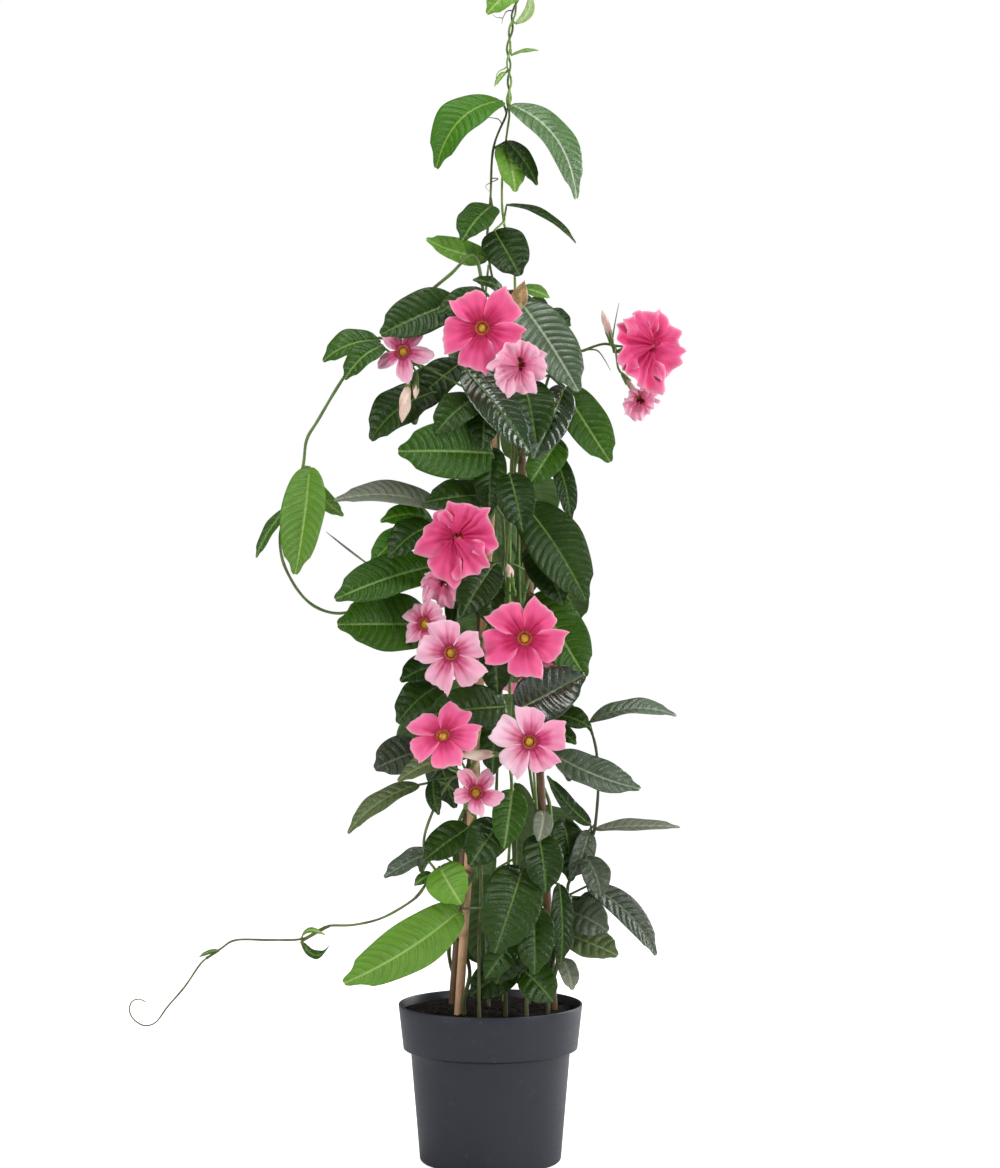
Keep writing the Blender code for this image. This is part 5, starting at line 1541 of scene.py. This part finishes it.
def build_soil():
    edge = COLLAR_FOOT_RADIUS + 0.77 * (RIM_RADIUS - COLLAR_FOOT_RADIUS) - POT_WALL - GAP * 1.5
    profile = [
        (0, POT_FLOOR + GAP),
        (FOOT_RADIUS - POT_WALL - GAP * 1.5, POT_FLOOR + GAP),
        (NECK_RADIUS - POT_WALL - GAP * 2, COLLAR_FOOT_HEIGHT - 0.001),
        (COLLAR_FOOT_RADIUS - POT_WALL - GAP * 2, COLLAR_FOOT_HEIGHT + 0.003),
        (edge - 0.0004, SOIL_TOP - 0.004),
    ]
    for ring in range(SOIL_RINGS):
        share = 1 - ring / SOIL_RINGS
        profile.append((edge * share, SOIL_TOP - 0.0018 * share**6 + SOIL_MOUND * (1 - share)))
    profile.append((0, SOIL_TOP + SOIL_MOUND))
    rim = edge * edge * 0.995

    def shape(place):
        if place.z > SOIL_TOP - 0.003 and place.x**2 + place.y**2 < rim:
            place.z += soil_height(place)
        return place

    form = Form()
    turned(form, profile, SOIL_SIDES, shape)
    form.make("soil_bed", [soil_material()], "soil", "soil")


def build_cane(name, skin):
    """A bamboo stick with swollen knots and a cut top."""
    low, high = cane_line(name)
    length = (high - low).length
    joints = CANE_KNOTS + 1
    route = []
    radii = []
    for ring in range(CANE_RINGS + 1):
        share = ring / CANE_RINGS
        route.append(low.lerp(high, share))
        radius = CANE_RADIUS * (1 - CANE_TAPER * share)
        if 0.5 < share * joints < CANE_KNOTS + 0.5:
            off = share * joints % 1
            off = min(off, 1 - off) / joints * length
            radius += KNOT_SWELL * math.exp(-((off / KNOT_LENGTH) ** 2))
            radius -= KNOT_GROOVE * math.exp(-(((off - GROOVE_OFFSET) / GROOVE_LENGTH) ** 2))
        radii.append(radius)
    form = Form()
    add_tube(form, route, radii, CANE_SIDES, 0)
    form.maps["Cane"] = {}
    for index in range(len(form.points)):
        ring, side = divmod(index, CANE_SIDES)
        form.maps["Cane"][index] = (ring / CANE_RINGS * joints + 0.5, side / CANE_SIDES)
    form.make(f"cane_{name}_bamboo", [skin], "cane", f"cane_{name}")


def build_stage():
    """Pale floor, world and soft lamps."""
    floor = bpy.data.meshes.new("floor")
    corners = [(x * FLOOR_HALF, y * FLOOR_HALF, 0) for x, y in ((-1, -1), (1, -1), (1, 1), (-1, 1))]
    floor.from_pydata(corners, [], [(0, 1, 2, 3)])
    ground = Graph(
        "pale_floor",
        Specular_IOR_Level=0.0,
        Roughness=0.9,
        Base_Color=(0.80, 0.80, 0.80, 1),
        Emission_Color=(1, 1, 1, 1),
    )
    glow = ground.add("LightPath") * FLOOR_GLOW
    ground.join(glow, ground.shader.inputs["Emission Strength"])
    floor.materials.append(ground.material)
    put("floor", floor)
    world = bpy.data.worlds.new("studio")
    world.use_nodes = True
    nodes = world.node_tree.nodes
    links = world.node_tree.links
    background = nodes["Background"]
    background.inputs["Color"].default_value = (1, 1, 1, 1)
    strength = nodes.new("ShaderNodeMath")
    strength.operation = "MULTIPLY_ADD"
    strength.inputs[1].default_value = 1.0 - AMBIENT
    strength.inputs[2].default_value = AMBIENT
    links.new(nodes.new("ShaderNodeLightPath").outputs["Is Camera Ray"], strength.inputs[0])
    links.new(strength.outputs[0], background.inputs["Strength"])
    bpy.context.scene.world = world
    bpy.context.scene.view_settings.view_transform = "Standard"
    for name, place, size, power in LAMPS:
        lamp = bpy.data.lights.new(name, "AREA")
        lamp.shape = "RECTANGLE"
        lamp.size, lamp.size_y = size
        lamp.energy = power
        holder = put(name, lamp)
        holder.location = place
        aim = Vector((0, 0, LAMP_AIM)) - Vector(place)
        holder.rotation_euler = aim.to_track_quat("-Z", "Y").to_euler()


def build_camera():
    """The photograph's view: level, with the frame shifted instead of tilted."""
    camera = bpy.data.cameras.new("camera")
    camera.sensor_fit = "VERTICAL"
    camera.sensor_height = SENSOR
    camera.lens = -VIEWER.y / METRES_PER_PIXEL * SENSOR / FRAME_HEIGHT
    middle = (GROUND_ROW - FRAME_HEIGHT / 2) * METRES_PER_PIXEL
    camera.shift_y = (middle - VIEWER.z) / METRES_PER_PIXEL / FRAME_HEIGHT
    holder = put("camera", camera)
    holder.location = VIEWER
    holder.rotation_euler = (math.radians(90), 0, 0)
    bpy.context.scene.camera = holder


# Lamps, as place, size and power, the height that they aim at, and half the floor's width
LAMPS = (
    ("key", (1.9, -1.3, 1.3), (0.9, 1.9), 34),
    ("edge", (1.5, 1.1, 1.0), (0.7, 1.8), 30),
    ("fill", (-1.9, -1.5, 1.2), (0.9, 1.8), 27),
    ("top", (-0.2, -0.3, 2.7), (1.2, 1.2), 20),
)
LAMP_AIM = 0.6
FLOOR_HALF = 14.0

# Light from the white surroundings, and how much whiter the floor shows than it lights
AMBIENT = 0.24
FLOOR_GLOW = 0.84

# Curled tendrils, a sepal and a spent stalk, as the vine that each starts from, its radius in
# millimetres and its places
SCRAPS = (
    ("leader_dark", 0.8, ((22, -4, 1207), (17, -5, 1206), (13, -6, 1199), (12, -7, 1193))),
    ("leader_dark", 0.6, ((13, -6, 1199), (6, -8, 1200), (2, -9, 1203))),
    ("leader_dark", 0.7, ((8, -8, 1093), (-3, -12, 1095), (-12, -16, 1099))),
    ("leader_dark", 0.7, ((8, -10, 1030), (-5, -14, 1023), (0, -16, 1016))),
    ("leader_green", 0.8, ((15, -2, 1146), (9, -5, 1143), (6, -7, 1137), (8, -9, 1129))),
    ("vine_right", 1.1, ((128, -40, 861), (131, -46, 880), (135, -50, 900))),
    ("vine_right", 1.1, ((100, -36, 851), (112, -42, 850), (120, -46, 840), (126, -48, 829))),
)

# Stems that end in a curled tendril, where the curl starts and how much it thins
CURLED = ("shoot_low_left",)
CURL_START = 0.86
CURL_THINNING = 0.25

# Looks of each flower: ruffle and backward curl of its lobes in millimetres, how deep the
# notches between them are, how pale it is, and how much paler towards the right
BLOOM_LOOKS = {
    "bloom_crown": (2.8, 3.0, 0.20, 0.10, 0.0),
    "bloom_crown_faded": (3.4, 5.0, 0.15, 0.45, 0.0),
    "bloom_shoulder": (0.8, 2.0, 0.70, 0.35, 0.10),
    "bloom_side": (5.0, 2.0, 0.0, 0.08, 0.0),
    "bloom_side_faded": (3.2, 3.0, 0.0, 0.30, 0.0),
    "bloom_middle_left": (4.6, 2.0, 0.0, 0.08, 0.0),
    "bloom_faded_left": (3.2, 3.0, 0.0, 0.35, 0.0),
    "bloom_pale_left": (2.2, 3.0, 0.40, 0.50, 0.0),
    "bloom_pink_left": (2.2, 3.0, 0.45, 0.42, -0.10),
    "bloom_heart": (2.8, 2.0, 0.22, 0.12, 0.0),
    "bloom_low_left": (2.0, 3.0, 0.50, 0.36, 0.0),
    "bloom_low_right": (1.8, 3.0, 0.45, 0.42, -0.48),
    "bloom_small": (1.0, 3.0, 0.70, 0.40, 0.0),
    "bloom_back_high": (1.6, 3.0, 0.20, 0.10, 0.0),
    "bloom_back_low": (1.6, 3.0, 0.20, 0.10, 0.0),
}

# Blade tones: light and dark green, vein colour, roughness and gloss
# The grey, silver and sheen tones are greens paled by painted sheen, and the sheen tone's whitish vein colour
# paints highlights along the ribs.
TONES = {
    "vivid": ("437f02", "2a5e00", "94b552", 0.36, 0.28),
    "bright": ("6a9a26", "44761a", "a3c468", 0.36, 0.45),
    "lime": ("7fb336", "5a8f1e", "b5d27a", 0.40, 0.45),
    "mid": ("3c680c", "204602", "86a85a", 0.28, 0.30),
    "dark": ("2c4a0a", "132e02", "5a7c38", 0.24, 0.32),
    "gloss": ("1c420e", "0c2604", "5a7c40", 0.16, 1.00),
    "sheen": ("64904e", "0e2c08", "d4e0ca", 0.26, 0.70),
    "grey": ("6e8068", "3c4e36", "a2ae98", 0.25, 0.80),
    "slate": ("48563f", "303c2a", "728068", 0.28, 0.50),
    "moss": ("66783e", "465830", "93a474", 0.32, 0.50),
    "silver": ("5c7654", "24381e", "b4c0aa", 0.24, 0.75),
    "olive": ("868d7a", "656d58", "b4bb9e", 0.36, 0.50),
    "pale": ("b9d38c", "93b862", "dbe8bb", 0.45, 0.40),
}

# Stems: green, brown and how much of a stem is brown
STEM_LOOKS = {
    "leader_dark": ("4f6f2a", "3b4a22", 0.50),
    "leader_green": ("7fa63f", "5c7a2e", 0.42),
    "shoot_low_left": ("6d8340", "4d3f2c", 0.50),
    "shoot_low_right": ("3d4a33", "2c2a22", 0.60),
}
PLAIN_STEM = ("557a33", "3f3a22", 0.44)

# Height in metres below which the stems turn woody
WOODY_TOP = 0.28

# Colours of a petal: deep, middle, edge, throat and the ring round the eye
PETAL_LOOKS = {
    "petal_hot": ("c41058", "ea4484", "fa8cb8", "cc8a34", "a3143c"),
    "petal_pale": ("d23c7a", "f684b2", "fde2ec", "cc8a34", "a01c48"),
    "petal_hot_back": ("d9608f", "e878a2", "f6b6cf", "dfa0a8", "d0608c"),
    "petal_pale_back": ("dd86a8", "ee9dbd", "f9dbe6", "e9b7bd", "dd86a8"),
}

# Canes: pale and darker fibres, and the streaks of their stains and knots
CANE_LOOKS = {
    "bamboo": ("f0c49a", "d0a078", "8a6848"),
    "bamboo_aged": ("86694c", "61452f", "38281c"),
}

# Small parts: two colours, how fine they are mottled, roughness and depth of the relief
PLAIN_LOOKS = {
    "midrib": ("8fae5c", "7b9c48", 60.0, 0.45, 0.0001),
    "calyx": ("6f9440", "54782c", 120.0, 0.42, 0.0002),
    "anthers": ("dcb040", "b27c2a", 300.0, 0.6, 0.0003),
    "bud_cream": ("f3e4cd", "e8b9b4", 90.0, 0.5, 0.0003),
    "bud_withered": ("c4a878", "8a7048", 120.0, 0.7, 0.0006),
    "tie_rubber": ("2b3a2a", "1d2a1d", 300.0, 0.55, 0.0002),
}


def painted(make, name, row):
    """A material made from a row whose colours are written as codes."""
    return make(name, *(linear(value) if isinstance(value, str) else value for value in row))


def all_skins():
    """Every material of the plant and its canes, by name."""
    skins = {}
    for tone, row in TONES.items():
        skins[f"leaf_{tone}"] = painted(leaf_material, f"leaf_{tone}", row)
    for vine in VINES:
        row = STEM_LOOKS.get(vine, PLAIN_STEM)
        skins[f"stem_{vine}"] = painted(stem_material, f"stem_{vine}", row)
    # The underside green is a paler leaf green, darkened in part for painted shade deep inside the foliage.
    skins["leaf_underside"] = painted(underside_material, "leaf_underside", ("48642e", "7c9860"))
    for make, looks in (
        (petal_material, PETAL_LOOKS),
        (cane_material, CANE_LOOKS),
        (plain_material, PLAIN_LOOKS),
    ):
        for name, row in looks.items():
            skins[name] = painted(make, name, row)
    return skins


def main():
    build_camera()
    skins = all_skins()
    for name in VINES:
        build_vine(name, skins)
    for name in BLOOMS:
        build_bloom(name, skins)
    for name in BUDS:
        build_bud(name, skins)
    build_pot()
    build_soil()
    build_cane("left", skins["bamboo"])
    build_cane("back", skins["bamboo_aged"])
    build_cane("right", skins["bamboo_aged"])
    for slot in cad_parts["cane_tie"].material_slots:
        slot.material = skins["tie_rubber"]
    build_stage()


main()
